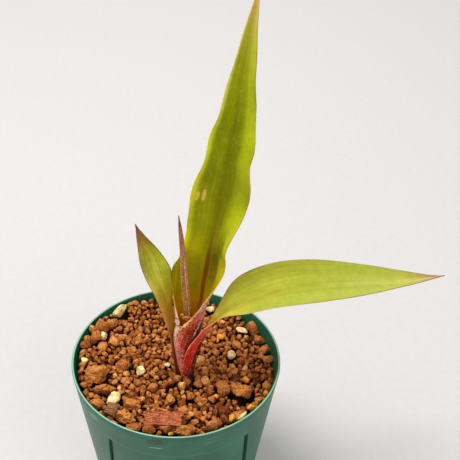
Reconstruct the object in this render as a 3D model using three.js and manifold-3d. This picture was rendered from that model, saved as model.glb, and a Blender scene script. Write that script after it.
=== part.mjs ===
// A young bromeliad with four leaves in a small tapered nursery pot of granular soil.
// Millimetres, +Z up. The origin is the middle of the pot's underside, and the front faces -Y.
import * as THREE from 'three';
import { mergeVertices } from 'three/addons/utils/BufferGeometryUtils.js';
import Module from 'manifold-3d';

const wasm = await Module();
wasm.setup();

// Driving dimensions of the pot
const RIM_RADIUS = 37.5;
const BASE_RADIUS = 28.7;
const POT_HEIGHT = 65;
const POT_WALL = 1.3;
const POT_FLOOR = 2;
const POT_SIDES = 64;
const RIM_CHAMFER = 0.35;
const BAND_HEIGHT = 11.6;
const PANEL_DEPTH = 0.55;
const PANEL_TURN = -84.5;
const SLOT_AT = 23.7;
const SLOT_WIDTH = 0.95;
const SLOT_DEPTH = 0.95;
const DRAIN_HEIGHT = 21;
const DRAIN_REACH = 6;
// How far a cutting shape runs past what it cuts
const PAST = 2;

// Driving dimensions of the soil, and of the hole in it that the plant stands in
const GAP = 0.3;
const SOIL_LEVEL = 59;
const SOIL_TILT = { x: -0.07, y: 0.026 };
// The soil is heaped against the wall at the sides and behind
const HEAP = { start: 23, reach: 12, height: 3, front: -16, over: 10 };
const SOIL_SIDES = 48;
const PLANT = { x: 3.1, y: -3.1, hole: 4.4, floor: 46, top: 64 };

// Grains on the soil: they stand on a six-sided grid with a shaken step, widened away from the fine
// spot. The ranges are a grain's lift, the lean of its peak, the reach and drop of its brow, and how
// deep the valleys lie between grains.
const GRAIN = {
  seed: 20407,
  step: 3.9,
  shake: 0.5,
  foot: 52,
  fine: { x: -6, y: 12, spread: 0.82, widening: 0.006 },
  lift: [-0.45, 0.65],
  peak: 0.5,
  lean: [-0.5, 0.5],
  brow: { reach: [0.66, 0.82], drop: [0, 0.7] },
  valley: [1.28, 1.92],
};

// Leaf blades: thickness of the blade, the extra thickness of the rib on the underside with the
// share of the half-width that it takes, the widest curl of an open blade in degrees, and the
// half-width under which a blade's wave fades
const BLADE = 0.62;
const RIB = 0.45;
const RIB_SHARE = 1 / 3;
const OPEN_CURL = 172;
const WAVE_FADE = 6;

const POT_GREEN = 0x4f8a70;
const SOIL_BROWN = 0xa5683a;
const STEM_BROWN = 0x5a2a1c;
const LEAF_GREEN = 0xa3ad2c;
const LEAF_LIME = 0xb4c536;
const LEAF_OLIVE = 0x8f9440;
const LEAF_WINE = 0x94505a;
const PUMICE_CREAM = 0xeed6a0;
const AMBER = 0xe09a2c;
const BARK_RED = 0xa9502e;
const BARK_BROWN = 0x7f4a28;

const radians = THREE.MathUtils.degToRad;

// Small random numbers that are the same each time
function randomSource(seed) {
  let state = seed;
  return () => {
    state = (state + 0x6d2b79f5) | 0;
    let mixed = Math.imul(state ^ (state >>> 15), 1 | state);
    mixed = (mixed + Math.imul(mixed ^ (mixed >>> 7), 61 | mixed)) ^ mixed;
    return ((mixed ^ (mixed >>> 14)) >>> 0) / 4294967296;
  };
}

const between = (random, [low, high]) => low + (high - low) * random();

// Solids: from a closed geometry and back
function solidOf(geometry) {
  const plain = geometry.clone();
  plain.deleteAttribute('normal');
  plain.deleteAttribute('uv');
  const merged = mergeVertices(plain, 1e-5);
  return new wasm.Manifold(new wasm.Mesh({
    numProp: 3,
    vertProperties: new Float32Array(merged.attributes.position.array),
    triVerts: new Uint32Array(merged.index.array),
  }));
}

function geometryOf(solid) {
  const mesh = solid.getMesh();
  const geometry = new THREE.BufferGeometry();
  geometry.setAttribute('position', new THREE.BufferAttribute(mesh.vertProperties, 3));
  geometry.setIndex(new THREE.BufferAttribute(mesh.triVerts, 1));
  return geometry;
}

// The largest body of a solid, without the scraps that a cut leaves
function mainBody(solid) {
  return solid.decompose().reduce((best, body) => (body.volume() > best.volume() ? body : best));
}

// A round solid about the pot's axis, from a profile of radius and height
function turned(profile, sides) {
  const points = profile.map(([radius, height]) => new THREE.Vector2(radius, height));
  return solidOf(new THREE.LatheGeometry(points, sides).rotateX(Math.PI / 2));
}

// An upright slab that points away from the pot's axis at one angle, and may stand aside of the axis
function slab(angle, inner, outer, aside, width, low, high) {
  const box = new THREE.BoxGeometry(outer - inner, width, high - low);
  box.translate((inner + outer) / 2, aside, (low + high) / 2);
  return solidOf(box.rotateZ(radians(angle)));
}

function mesh(name, geometry, color, roughness = 0.7) {
  const material = new THREE.MeshStandardMaterial({ color, roughness, metalness: 0 });
  const part = new THREE.Mesh(geometry, material);
  part.name = name;
  return part;
}

// The pot: a thin tapered shell with a flat floor. Its front and back panels are a little sunk below
// the rim band, and an upright slot at each panel's ends runs down to a drain slit in the foot.
const outerRadius = (z) => BASE_RADIUS + ((RIM_RADIUS - BASE_RADIUS) * z) / POT_HEIGHT;
const innerRadius = (z) => outerRadius(z) - POT_WALL;

function makePot() {
  const shell = turned([
    [0, 0],
    [BASE_RADIUS, 0],
    [outerRadius(POT_HEIGHT - RIM_CHAMFER), POT_HEIGHT - RIM_CHAMFER],
    [RIM_RADIUS - RIM_CHAMFER, POT_HEIGHT],
    [RIM_RADIUS - POT_WALL + RIM_CHAMFER, POT_HEIGHT],
    [innerRadius(POT_HEIGHT - RIM_CHAMFER), POT_HEIGHT - RIM_CHAMFER],
    [innerRadius(POT_FLOOR), POT_FLOOR],
    [0, POT_FLOOR],
  ], POT_SIDES);
  const bandEdge = POT_HEIGHT - BAND_HEIGHT;
  const far = RIM_RADIUS * 2;
  // A skin of the given depth on the outside of the wall, below the rim band
  const skin = (depth) => turned([
    [outerRadius(-PAST) - depth, -PAST],
    [far, -PAST],
    [far, bandEdge],
    [outerRadius(bandEdge) - depth, bandEdge],
    [outerRadius(-PAST) - depth, -PAST],
  ], POT_SIDES);
  const footAtSlot = Math.sqrt(BASE_RADIUS ** 2 - SLOT_AT ** 2);
  let pot = shell;
  for (const middle of [PANEL_TURN, PANEL_TURN + 180]) {
    const panel = slab(middle, 0, far, 0, 2 * SLOT_AT, -PAST, POT_HEIGHT);
    pot = pot.subtract(skin(PANEL_DEPTH).intersect(panel));
    for (const aside of [-SLOT_AT, SLOT_AT]) {
      const slot = slab(middle, 0, far, aside, SLOT_WIDTH, -PAST, POT_HEIGHT);
      const drain = slab(middle, footAtSlot - DRAIN_REACH, far, aside, SLOT_WIDTH, -PAST, DRAIN_HEIGHT);
      pot = pot.subtract(skin(SLOT_DEPTH).intersect(slot)).subtract(drain);
    }
  }
  return mainBody(pot);
}

// An angular pebble of three half-widths, as crushed clay or pumice breaks. A positive extra makes
// it larger all round, for the hollow that it lies in.
function pebble({ at, size, turn = [0, 0, 0], seed, rough = 0.16, detail = 0 }, extra = 0) {
  const random = randomSource(seed);
  const shape = new THREE.IcosahedronGeometry(1, detail);
  shape.deleteAttribute('normal');
  shape.deleteAttribute('uv');
  const geometry = mergeVertices(shape, 1e-4);
  const points = geometry.attributes.position;
  for (let i = 0; i < points.count; i += 1) {
    const reach = 1 + rough * (2 * random() - 1);
    points.setXYZ(
      i,
      points.getX(i) * (size[0] * reach + extra),
      points.getY(i) * (size[1] * reach + extra),
      points.getZ(i) * (size[2] * reach + extra),
    );
  }
  const angles = new THREE.Euler(...turn.map(radians));
  geometry.applyMatrix4(new THREE.Matrix4().makeRotationFromEuler(angles));
  return geometry.translate(...at);
}

// Loose stones on the soil: place, half-widths, turn
const PUMICE = [
  { at: [-27.9, 11.5, 63.0], size: [1.9, 1.7, 1.5], turn: [10, 0, 40], seed: 11 },
  { at: [-23.2, 23.4, 64.5], size: [4.0, 1.7, 1.8], turn: [0, -48, 20], seed: 12 },
  { at: [-32.9, -2.0, 63.7], size: [1.3, 1.2, 1.1], turn: [0, 20, 10], seed: 13 },
  { at: [-12.8, -2.8, 60.2], size: [2.3, 1.8, 1.5], turn: [0, 0, 35], seed: 14 },
  { at: [-3.4, 0.6, 59.9], size: [1.2, 1.0, 1.0], turn: [0, 0, 15], seed: 15 },
  { at: [-21.2, -17.4, 60.9], size: [2.9, 2.4, 2.0], turn: [12, 0, 60], seed: 16 },
  { at: [19.8, 7.6, 59.2], size: [1.5, 2.0, 1.7], turn: [20, 10, 0], seed: 17 },
  { at: [11.1, 29.6, 62.0], size: [1.6, 1.3, 1.3], turn: [0, 0, 20], seed: 18 },
  { at: [23.4, 19.5, 60.8], size: [2.3, 1.2, 1.1], turn: [0, 6, -18], seed: 19 },
  { at: [24.3, -22.2, 60.1], size: [2.2, 0.9, 0.9], turn: [0, -8, 40], seed: 20 },
];

const AMBER_GRAINS = [
  { at: [15.5, 17.2, 59.4], size: [1.5, 1.4, 1.3], seed: 31 },
  { at: [25.4, -4.6, 59.4], size: [1.5, 1.3, 1.3], turn: [0, 0, 30], seed: 32 },
  { at: [20.6, -23.6, 60.1], size: [1.3, 1.5, 1.4], turn: [0, 0, -20], seed: 33 },
  { at: [27.2, -18.0, 59.9], size: [1.5, 1.3, 1.2], turn: [0, 0, 60], seed: 34 },
  { at: [32.3, -11.7, 60.4], size: [1.0, 1.1, 1.1], seed: 35 },
  { at: [14.8, -13.1, 59.4], size: [1.0, 0.9, 0.9], seed: 36 },
];

// Larger brown lumps of the soil, which lie higher than the fine grains
const LUMPS = [
  { at: [-28.2, -6.5, 61.4], size: [5.2, 4.4, 3.0], turn: [8, 6, 30], seed: 51 },
  { at: [-25.0, -12.6, 60.2], size: [4.4, 2.9, 2.4], turn: [0, 8, 12], seed: 52 },
  { at: [-19.3, -0.8, 59.6], size: [3.6, 2.6, 2.2], turn: [0, 0, -20], seed: 53 },
  { at: [-14.2, -18.6, 59.5], size: [4.0, 2.6, 2.3], turn: [6, 0, -8], seed: 54 },
  { at: [-16.2, -24.8, 59.9], size: [3.9, 3.1, 2.4], turn: [0, 5, -35], seed: 55 },
  { at: [4.9, -30.2, 59.7], size: [4.0, 2.3, 2.2], turn: [0, 4, 4], seed: 56 },
  { at: [24.1, -10.0, 59.3], size: [4.5, 3.7, 2.7], turn: [0, 6, -10], seed: 57 },
  { at: [30.0, -13.9, 58.7], size: [2.3, 2.1, 1.7], turn: [0, 12, 40], seed: 58 },
  { at: [16.6, -9.6, 58.8], size: [2.3, 2.4, 2.0], turn: [9, 0, 20], seed: 59 },
  { at: [-30.8, 9.5, 64.0], size: [3.0, 2.6, 2.2], turn: [0, -12, 70], seed: 60 },
  { at: [-26.2, 17.6, 63.0], size: [3.4, 2.4, 2.0], turn: [0, -8, 50], seed: 61 },
  { at: [-12.6, -28.6, 59.2], size: [3.2, 2.2, 1.9], turn: [0, 0, 12], seed: 62 },
  { at: [23.0, -21.0, 58.2], size: [3.6, 3.0, 2.0], turn: [0, 6, 40], seed: 63 },
  { at: [29.0, -16.0, 57.6], size: [3.2, 2.6, 2.0], turn: [0, 8, 60], seed: 64 },
];

// The chip of fibrous bark is a flat slab that lies on the grains, and the chunk a short ridged block
const BARK_CHIP = { at: [-2.8, -25.5, 60.6], size: [12.2, 5.4, 1.6], turn: [14, -4, -2] };
const BARK_CHUNK = { at: [-20.8, -23.1, 61.4], size: [3.4, 4.6, 2.8], turn: [18, 8, -20] };

const BARK_RIDGE = 0.16;

function barkGeometry({ at, size, turn }, ridges, extra = 0) {
  const [length, width, height] = size.map((value) => value + 2 * extra);
  const outline = new THREE.Shape();
  const steps = ridges * 2;
  outline.moveTo(-width / 2, -height / 2);
  outline.lineTo(width / 2, -height / 2);
  for (let i = 0; i <= steps; i += 1) {
    const ridge = extra > 0 ? 0 : BARK_RIDGE * size[2] * (i % 2);
    outline.lineTo(width / 2 - (width * i) / steps, height / 2 - ridge);
  }
  outline.closePath();
  const block = new THREE.ExtrudeGeometry(outline, { depth: length, bevelEnabled: false });
  block.translate(0, 0, -length / 2).rotateX(Math.PI / 2).rotateZ(Math.PI / 2);
  const angles = new THREE.Euler(...turn.map(radians));
  block.applyMatrix4(new THREE.Matrix4().makeRotationFromEuler(angles));
  return block.translate(...at);
}

// Soil: a bed that fills the pot, heaped a little to the left. Its top is a pavement of angular
// grains on a shaken six-sided grid, finer behind the plant than in front, with lumps fused in.
function soilLevel(x, y) {
  const outward = THREE.MathUtils.clamp((Math.hypot(x, y) - HEAP.start) / HEAP.reach, 0, 1);
  const behind = THREE.MathUtils.clamp((y - HEAP.front) / HEAP.over, 0, 1);
  return SOIL_LEVEL + SOIL_TILT.x * x + SOIL_TILT.y * y + HEAP.height * outward ** 1.5 * behind;
}

const NEIGHBOURS = [[1, 0], [0, 1], [-1, 1], [-1, 0], [0, -1], [1, -1]];

function grainCentres() {
  const random = randomSource(GRAIN.seed);
  const { x: fineX, y: fineY, spread, widening } = GRAIN.fine;
  const count = Math.ceil((2 * RIM_RADIUS) / GRAIN.step);
  const centres = new Map();
  for (let i = -count; i <= count; i += 1) {
    for (let j = -count; j <= count; j += 1) {
      const x = GRAIN.step * (i + j / 2 + GRAIN.shake * (random() - 0.5)) - fineX;
      const y = GRAIN.step * ((j * Math.sqrt(3)) / 2 + GRAIN.shake * (random() - 0.5)) - fineY;
      const wider = spread + widening * Math.hypot(x, y);
      const place = [fineX + x * wider, fineY + y * wider];
      const lift = between(random, GRAIN.lift);
      if (Math.hypot(...place) < RIM_RADIUS + GRAIN.step) centres.set(`${i},${j}`, [...place, lift]);
    }
  }
  return centres;
}

// Each grain is a peak and a brow of six points, with a valley point where three grains meet. Points
// are kept by name, so that neighbouring grains share their valleys.
function grainPavement() {
  const random = randomSource(GRAIN.seed + 1);
  const centres = grainCentres();
  const positions = [];
  const known = new Map();
  const vertex = (key, make) => {
    if (!known.has(key)) {
      known.set(key, positions.length / 3);
      positions.push(...make());
    }
    return known.get(key);
  };
  const beside = (key) => {
    const [i, j] = key.split(',').map(Number);
    return NEIGHBOURS.map(([di, dj]) => `${i + di},${j + dj}`);
  };
  const whole = (key) => centres.has(key) && beside(key).every((other) => centres.has(other));
  const faces = [];
  centres.forEach(([x, y, lift], key) => {
    if (!whole(key)) return;
    const around = beside(key);
    const level = soilLevel(x, y) + lift;
    const peak = vertex(key, () => [
      x + between(random, GRAIN.lean),
      y + between(random, GRAIN.lean),
      level + GRAIN.peak,
    ]);
    const foot = vertex(`${key} foot`, () => [x, y, GRAIN.foot]);
    const meeting = (k) => [key, around[k % 6], around[(k + 1) % 6]].sort();
    const corner = (k) => {
      const three = meeting(k).map((name) => centres.get(name));
      return [0, 1].map((axis) => (three[0][axis] + three[1][axis] + three[2][axis]) / 3);
    };
    const valley = (k) => vertex(meeting(k).join(' '), () => {
      const [cx, cy] = corner(k);
      return [cx, cy, soilLevel(cx, cy) - between(random, GRAIN.valley)];
    });
    const under = (k) => vertex(`${meeting(k).join(' ')} foot`, () => [...corner(k), GRAIN.foot]);
    const brow = (k) => vertex(`${key} brow ${k % 6}`, () => {
      const [cx, cy] = corner(k);
      const reach = between(random, GRAIN.brow.reach);
      return [x + (cx - x) * reach, y + (cy - y) * reach, level - between(random, GRAIN.brow.drop)];
    });
    for (let k = 0; k < 6; k += 1) {
      faces.push(peak, brow(k), brow(k + 1));
      faces.push(brow(k), valley(k), valley(k + 1));
      faces.push(brow(k), valley(k + 1), brow(k + 1));
      faces.push(foot, under(k + 1), under(k));
      if (!whole(around[(k + 1) % 6])) {
        faces.push(valley(k), under(k), under(k + 1));
        faces.push(valley(k), under(k + 1), valley(k + 1));
      }
    }
  });
  const geometry = new THREE.BufferGeometry();
  geometry.setAttribute('position', new THREE.Float32BufferAttribute(positions, 3));
  geometry.setIndex(faces);
  return solidOf(geometry);
}

function makeSoil() {
  const low = POT_FLOOR + GAP;
  // A cone that keeps clear of the pot's wall, up to the given height
  const inside = (height) => turned([
    [0, low],
    [innerRadius(low) - GAP, low],
    [innerRadius(height) - GAP, height],
    [0, height],
  ], SOIL_SIDES);
  const hole = turned([
    [0, PLANT.floor],
    [PLANT.hole, PLANT.floor],
    [PLANT.hole, PLANT.top],
    [0, PLANT.top],
  ], 16).translate([PLANT.x, PLANT.y, 0]);
  const loose = [...PUMICE, ...AMBER_GRAINS].map((stone) => solidOf(pebble(stone, GAP)));
  const chips = [
    solidOf(barkGeometry(BARK_CHIP, 3, GAP)),
    solidOf(barkGeometry(BARK_CHUNK, 2, GAP)),
  ];
  const lumps = LUMPS.map((lump) => solidOf(pebble(lump)));
  const heap = wasm.Manifold.union([grainPavement(), ...lumps]).intersect(inside(POT_HEIGHT + PAST));
  const cut = wasm.Manifold.union([hole, ...loose, ...chips]);
  return mainBody(heap.add(inside(GRAIN.foot + 1)).subtract(cut));
}

// Crown: the short stem base in the soil that the leaves grow from
function makeCrown() {
  const profile = [[0, 46.4], [2.2, 46.4], [3.6, 49], [3.9, 53], [3.2, 55.4], [1.6, 56.6], [0, 56.9]];
  return turned(profile, 20).translate([PLANT.x, PLANT.y, 0]);
}

// Leaves. Each leaf is a list of stations from its base to its tip: where the rib runs, which way
// the upper face looks, the half-widths to the left and right of the rib, and how far the margins
// curl up, in degrees. At a curl of 180 the margins meet, and the leaf is a closed sheath.
const LEAF_TALL = {
  closed: 3,
  rows: 3,
  columns: 10,
  wave: { height: 0.5, length: 17, phase: 0.4 },
  stations: [
    { at: [4.5, -1.45, 57.6], facing: [-0.54, -0.84, 0], left: 3.9, right: 5.5, curl: 180 },
    { at: [4.5, -0.25, 66.0], facing: [-0.54, -0.84, 0], left: 6.9, right: 9.6, curl: 180 },
    { at: [5.32, 1.75, 74.5], facing: [-0.54, -0.84, 0.1], left: 10.6, right: 14.6, curl: 180 },
    { at: [6.75, 3.35, 81.3], facing: [-0.54, -0.84, 0.1], left: 14.1, right: 14.6, curl: 180 },
    { at: [7.6, 4.2, 86.5], facing: [-0.6, -0.8, 0.1], left: 14.9, right: 12.2, curl: 148 },
    { at: [8.35, 4.8, 91.0], facing: [-0.64, -0.77, 0.1], left: 13.0, right: 11.8, curl: 116 },
    { at: [9.15, 5.6, 97.0], facing: [-0.6, -0.79, 0.1], left: 12.1, right: 12.1, curl: 89 },
    { at: [10.15, 6.4, 104.0], facing: [-0.37, -0.92, 0.12], left: 12.7, right: 9.8, curl: 69 },
    { at: [10.6, 6.85, 107.7], facing: [-0.35, -0.93, 0.13], left: 11.1, right: 9.1, curl: 66 },
    { at: [11.4, 7.5, 112.5], facing: [-0.5, -0.85, 0.14], left: 9.2, right: 8.2, curl: 52 },
    { at: [13.0, 8.45, 120.0], facing: [-0.36, -0.9, 0.15], left: 10.0, right: 8.7, curl: 39 },
    { at: [14.2, 9.6, 128.2], facing: [-0.21, -0.95, 0.16], left: 10.3, right: 9.4, curl: 31 },
    { at: [15.3, 10.95, 135.5], facing: [-0.23, -0.94, 0.18], left: 9.3, right: 10.9, curl: 40 },
    { at: [16.2, 12.4, 142.4], facing: [-0.26, -0.94, 0.2], left: 7.9, right: 8.3, curl: 41 },
    { at: [17.2, 13.9, 148.8], facing: [-0.24, -0.94, 0.22], left: 7.4, right: 9.1, curl: 37 },
    { at: [18.3, 15.6, 155.2], facing: [-0.06, -0.96, 0.25], left: 6.4, right: 6.4, curl: 25 },
    { at: [19.65, 19.8, 168.6], facing: [-0.1, -0.95, 0.3], left: 4.0, right: 4.6, curl: 30 },
    { at: [22.1, 25.2, 183.3], facing: [-0.1, -0.93, 0.35], left: 2.2, right: 1.7, curl: 26 },
    { at: [24.05, 31.0, 196.4], facing: [-0.1, -0.92, 0.38], left: 0.35, right: 0.35, curl: 10 },
  ],
};

const LEAF_RIGHT = {
  closed: -1,
  rows: 3,
  columns: 8,
  wave: { height: 0.3, length: 26, phase: 1.2 },
  stations: [
    { at: [5.4, -4.35, 57.8], facing: [-0.77, 0.64, 0.05], left: 2.5, right: 3.9, curl: 50 },
    { at: [6.1, -4.6, 68.5], facing: [-0.77, 0.62, 0.15], left: 3.5, right: 3.8, curl: 48 },
    { at: [7.95, -5.2, 74.7], facing: [-0.75, 0.57, 0.3], left: 2.9, right: 4.2, curl: 62 },
    { at: [9.9, -4.9, 80.9], facing: [-0.84, 0.32, 0.4], left: 2.3, right: 2.7, curl: 81 },
    { at: [11.9, -4.5, 84.7], facing: [-0.8, 0, 0.6], left: 1.7, right: 2.6, curl: 75 },
    { at: [15.35, -4.0, 89.1], facing: [-0.61, 0.03, 0.8], left: 3.4, right: 1.7, curl: 57 },
    { at: [23.25, -2.6, 94.2], facing: [-0.41, -0.2, 0.9], left: 9.4, right: 6.6, curl: 40 },
    { at: [34.1, -0.4, 98.6], facing: [-0.12, -0.26, 0.95], left: 10.2, right: 8.5, curl: 31 },
    { at: [47.8, 1.9, 100.4], facing: [0, -0.28, 0.95], left: 9.0, right: 8.3, curl: 26 },
    { at: [64.9, 4.6, 100.0], facing: [0.02, -0.26, 0.95], left: 6.4, right: 5.9, curl: 24 },
    { at: [79.55, 7.2, 98.5], facing: [0, -0.24, 0.95], left: 3.9, right: 1.8, curl: 22 },
    { at: [92.3, 9.6, 99.8], facing: [0, -0.2, 0.96], left: 0.35, right: 0.35, curl: 8 },
  ],
};

const LEAF_LEFT = {
  closed: -1,
  rows: 3,
  columns: 6,
  wave: { height: 0.3, length: 15, phase: 2.1 },
  stations: [
    { at: [0.5, -2.4, 57.8], facing: [0.8, -0.6, 0], left: 1.2, right: 1.0, curl: 40 },
    { at: [-0.75, -0.7, 67.5], facing: [0.85, -0.53, 0.05], left: 1.2, right: 1.2, curl: 32 },
    { at: [-1.78, 0.45, 75.2], facing: [0.8, -0.6, 0.1], left: 1.2, right: 1.4, curl: 32 },
    { at: [-2.42, 1.05, 83.0], facing: [0.6, -0.79, 0.15], left: 2.6, right: 2.1, curl: 36 },
    { at: [-2.98, 0.75, 89.9], facing: [0.62, -0.78, 0.2], left: 4.1, right: 1.6, curl: 22 },
    { at: [-4.5, 0.4, 96.9], facing: [0.5, -0.84, 0.2], left: 3.9, right: 3.5, curl: 20 },
    { at: [-6.95, 2.0, 102.7], facing: [0.22, -0.95, 0.25], left: 4.2, right: 5.4, curl: 26 },
    { at: [-8.95, 3.7, 108.7], facing: [0.4, -0.9, 0.3], left: 4.5, right: 3.4, curl: 26 },
    { at: [-11.9, 4.3, 114.7], facing: [0.4, -0.9, 0.3], left: 1.5, right: 1.5, curl: 20 },
    { at: [-13.7, 5.1, 120.5], facing: [0.4, -0.9, 0.35], left: 0.35, right: 0.35, curl: 8 },
  ],
};

// The curves that a leaf's stations give, read at one place between them
function leafCurves({ stations }) {
  const curve = (pick) => new THREE.CatmullRomCurve3(
    stations.map((station) => new THREE.Vector3(...pick(station))),
    false,
    'catmullrom',
  );
  return {
    rib: curve(({ at }) => at),
    facing: curve(({ facing }) => facing),
    form: curve(({ left, right, curl }) => [left, right, radians(curl)]),
  };
}

// One row of points across a leaf, on its upper and its under face
function leafRow(leaf, curves, place) {
  const along = place / (leaf.stations.length - 1);
  const centre = curves.rib.getPoint(along);
  const tangent = curves.rib.getTangent(along);
  const upward = curves.facing.getPoint(along).projectOnPlane(tangent).normalize();
  const sideways = new THREE.Vector3().crossVectors(tangent, upward);
  const [left, right, turn] = curves.form.getPoint(along).toArray();
  const closed = place <= leaf.closed;
  const curl = closed ? Math.PI : Math.min(turn, radians(OPEN_CURL));
  const radius = (left + right) / 2 / curl;
  const upper = [];
  const under = [];
  for (let j = 0; j <= leaf.columns; j += 1) {
    const across = (2 * j) / leaf.columns - 1;
    const angle = (across * (across < 0 ? left : right)) / radius;
    const ripple = leaf.wave.height * Math.min(1, left / WAVE_FADE) * Math.abs(across) ** 3
      * Math.sin((2 * Math.PI * centre.length()) / leaf.wave.length + leaf.wave.phase + across);
    const point = centre.clone()
      .addScaledVector(sideways, radius * Math.sin(angle))
      .addScaledVector(upward, radius * (1 - Math.cos(angle)));
    const normal = upward.clone().multiplyScalar(Math.cos(angle))
      .addScaledVector(sideways, -Math.sin(angle));
    point.addScaledVector(normal, closed ? 0 : ripple);
    const rib = closed ? 0 : RIB * Math.max(0, 1 - Math.abs(across) / RIB_SHARE);
    upper.push(point.clone().addScaledVector(normal, BLADE / 2));
    under.push(point.clone().addScaledVector(normal, -BLADE / 2 - rib));
  }
  return { upper, under, closed };
}

function makeLeaf(leaf) {
  const curves = leafCurves(leaf);
  const count = (leaf.stations.length - 1) * leaf.rows;
  const rows = [];
  for (let i = 0; i <= count; i += 1) rows.push(leafRow(leaf, curves, i / leaf.rows));
  const last = leaf.columns;
  const positions = [];
  rows.forEach(({ upper, under }) => {
    [...upper, ...under].forEach((point) => positions.push(...point.toArray()));
  });
  const index = (row, face, column) => {
    const shared = rows[row].closed && column === last ? 0 : column;
    return row * 2 * (last + 1) + face * (last + 1) + shared;
  };
  const faces = [];
  const quad = (a, b, c, d) => faces.push(a, b, c, a, c, d);
  for (let i = 0; i < count; i += 1) {
    for (let j = 0; j < last; j += 1) {
      quad(index(i, 0, j), index(i, 0, j + 1), index(i + 1, 0, j + 1), index(i + 1, 0, j));
      quad(index(i, 1, j + 1), index(i, 1, j), index(i + 1, 1, j), index(i + 1, 1, j + 1));
    }
    if (!(rows[i].closed && rows[i + 1].closed)) {
      quad(index(i, 1, 0), index(i, 0, 0), index(i + 1, 0, 0), index(i + 1, 1, 0));
      quad(index(i, 0, last), index(i, 1, last), index(i + 1, 1, last), index(i + 1, 0, last));
    }
  }
  for (let j = 0; j < last; j += 1) {
    quad(index(0, 1, j), index(0, 1, j + 1), index(0, 0, j + 1), index(0, 0, j));
    quad(index(count, 0, j), index(count, 0, j + 1), index(count, 1, j + 1), index(count, 1, j));
  }
  const geometry = new THREE.BufferGeometry();
  geometry.setAttribute('position', new THREE.Float32BufferAttribute(positions, 3));
  geometry.setIndex(faces);
  return geometryOf(solidOf(geometry));
}

// The spear: the youngest leaf, still rolled round itself. Its outer margin is a step at the seam,
// a share of the radius high, and the roll wraps round in nearly a full turn of degrees.
const SPEAR = {
  sides: 10,
  rows: 22,
  step: 0.22,
  seam: -61,
  wrap: 354.6,
  path: [
    [3.5, -2.6, 61.6], [3.6, -2.0, 70], [4.3, -0.9, 79], [4.2, -0.7, 87],
    [3.5, -1.2, 96], [2.9, -1.6, 105], [2.4, -2.0, 114.5], [1.8, -2.5, 123], [1.1, -3.0, 130.8],
  ],
  radii: [0.55, 0.95, 1.4, 1.6, 1.5, 1.3, 1.05, 0.8, 0.15],
};

function makeSpear() {
  const path = new THREE.CatmullRomCurve3(SPEAR.path.map((point) => new THREE.Vector3(...point)));
  const spans = SPEAR.radii.length - 1;
  const radiusAt = (along) => {
    const place = along * spans;
    const low = Math.min(Math.floor(place), spans - 1);
    return THREE.MathUtils.lerp(SPEAR.radii[low], SPEAR.radii[low + 1], place - low);
  };
  const positions = [];
  const faces = [];
  const sides = SPEAR.sides;
  for (let i = 0; i <= SPEAR.rows; i += 1) {
    const along = i / SPEAR.rows;
    const centre = path.getPoint(along);
    for (let j = 0; j < sides; j += 1) {
      const share = j / (sides - 1);
      const angle = radians(SPEAR.seam + SPEAR.wrap * share);
      const radius = radiusAt(along) * (1 - SPEAR.step * (1 - share));
      positions.push(
        centre.x + radius * Math.cos(angle),
        centre.y + radius * Math.sin(angle),
        centre.z,
      );
    }
  }
  for (let i = 0; i < SPEAR.rows; i += 1) {
    for (let j = 0; j < sides; j += 1) {
      const a = i * sides + j;
      const b = i * sides + ((j + 1) % sides);
      faces.push(a, b, b + sides, a, b + sides, a + sides);
    }
  }
  const end = SPEAR.rows * sides;
  for (let j = 1; j < sides - 1; j += 1) {
    faces.push(0, j + 1, j, end, end + j, end + j + 1);
  }
  const geometry = new THREE.BufferGeometry();
  geometry.setAttribute('position', new THREE.Float32BufferAttribute(positions, 3));
  geometry.setIndex(faces);
  return geometryOf(solidOf(geometry));
}

// Crumbs of soil that have fallen into the mouth of the funnel, in front of the spear
const CRUMBS = [
  { at: [3.3, -2.85, 86.5], size: [0.8, 0.55, 0.7], turn: [0, 0, -30], seed: 71 },
  { at: [4.3, -3.15, 86.2], size: [0.85, 0.55, 0.75], seed: 72 },
  { at: [5.35, -2.95, 86.4], size: [0.85, 0.55, 0.7], turn: [0, 0, 20], seed: 73 },
  { at: [4.4, -3.1, 87.2], size: [0.7, 0.55, 0.75], seed: 74 },
  { at: [2.65, -2.7, 86.9], size: [0.9, 0.6, 0.7], turn: [0, 0, -40], seed: 75 },
  { at: [2.15, -2.4, 87.6], size: [0.7, 0.55, 0.85], turn: [0, 0, -50], seed: 76 },
];

function makeCrumbs() {
  return wasm.Manifold.union(CRUMBS.map((crumb) => solidOf(pebble(crumb))));
}

const plant = new THREE.Group();
plant.add(
  mesh('crown', geometryOf(makeCrown()), STEM_BROWN, 0.8),
  mesh('leaf_tall', makeLeaf(LEAF_TALL), LEAF_GREEN, 0.5),
  mesh('leaf_right', makeLeaf(LEAF_RIGHT), LEAF_LIME, 0.5),
  mesh('leaf_left', makeLeaf(LEAF_LEFT), LEAF_OLIVE, 0.5),
  mesh('leaf_spear', makeSpear(), LEAF_WINE, 0.6),
);

const filling = new THREE.Group();
filling.add(
  mesh('soil_bed', geometryOf(makeSoil()), SOIL_BROWN, 0.95),
  mesh('crumbs', geometryOf(makeCrumbs()), SOIL_BROWN, 0.95),
  mesh('bark_chip', geometryOf(solidOf(barkGeometry(BARK_CHIP, 3))), BARK_RED, 0.9),
  mesh('bark_chunk', geometryOf(solidOf(barkGeometry(BARK_CHUNK, 2))), BARK_BROWN, 0.9),
);
PUMICE.forEach((stone, i) => {
  filling.add(mesh(`pumice_${i + 1}`, geometryOf(solidOf(pebble(stone))), PUMICE_CREAM, 0.9));
});
AMBER_GRAINS.forEach((stone, i) => {
  filling.add(mesh(`amber_${i + 1}`, geometryOf(solidOf(pebble(stone))), AMBER, 0.8));
});

const pottedPlant = new THREE.Group();
pottedPlant.add(mesh('pot', geometryOf(makePot()), POT_GREEN, 0.45), filling, plant);

export default pottedPlant;
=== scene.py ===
import math
import random

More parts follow.
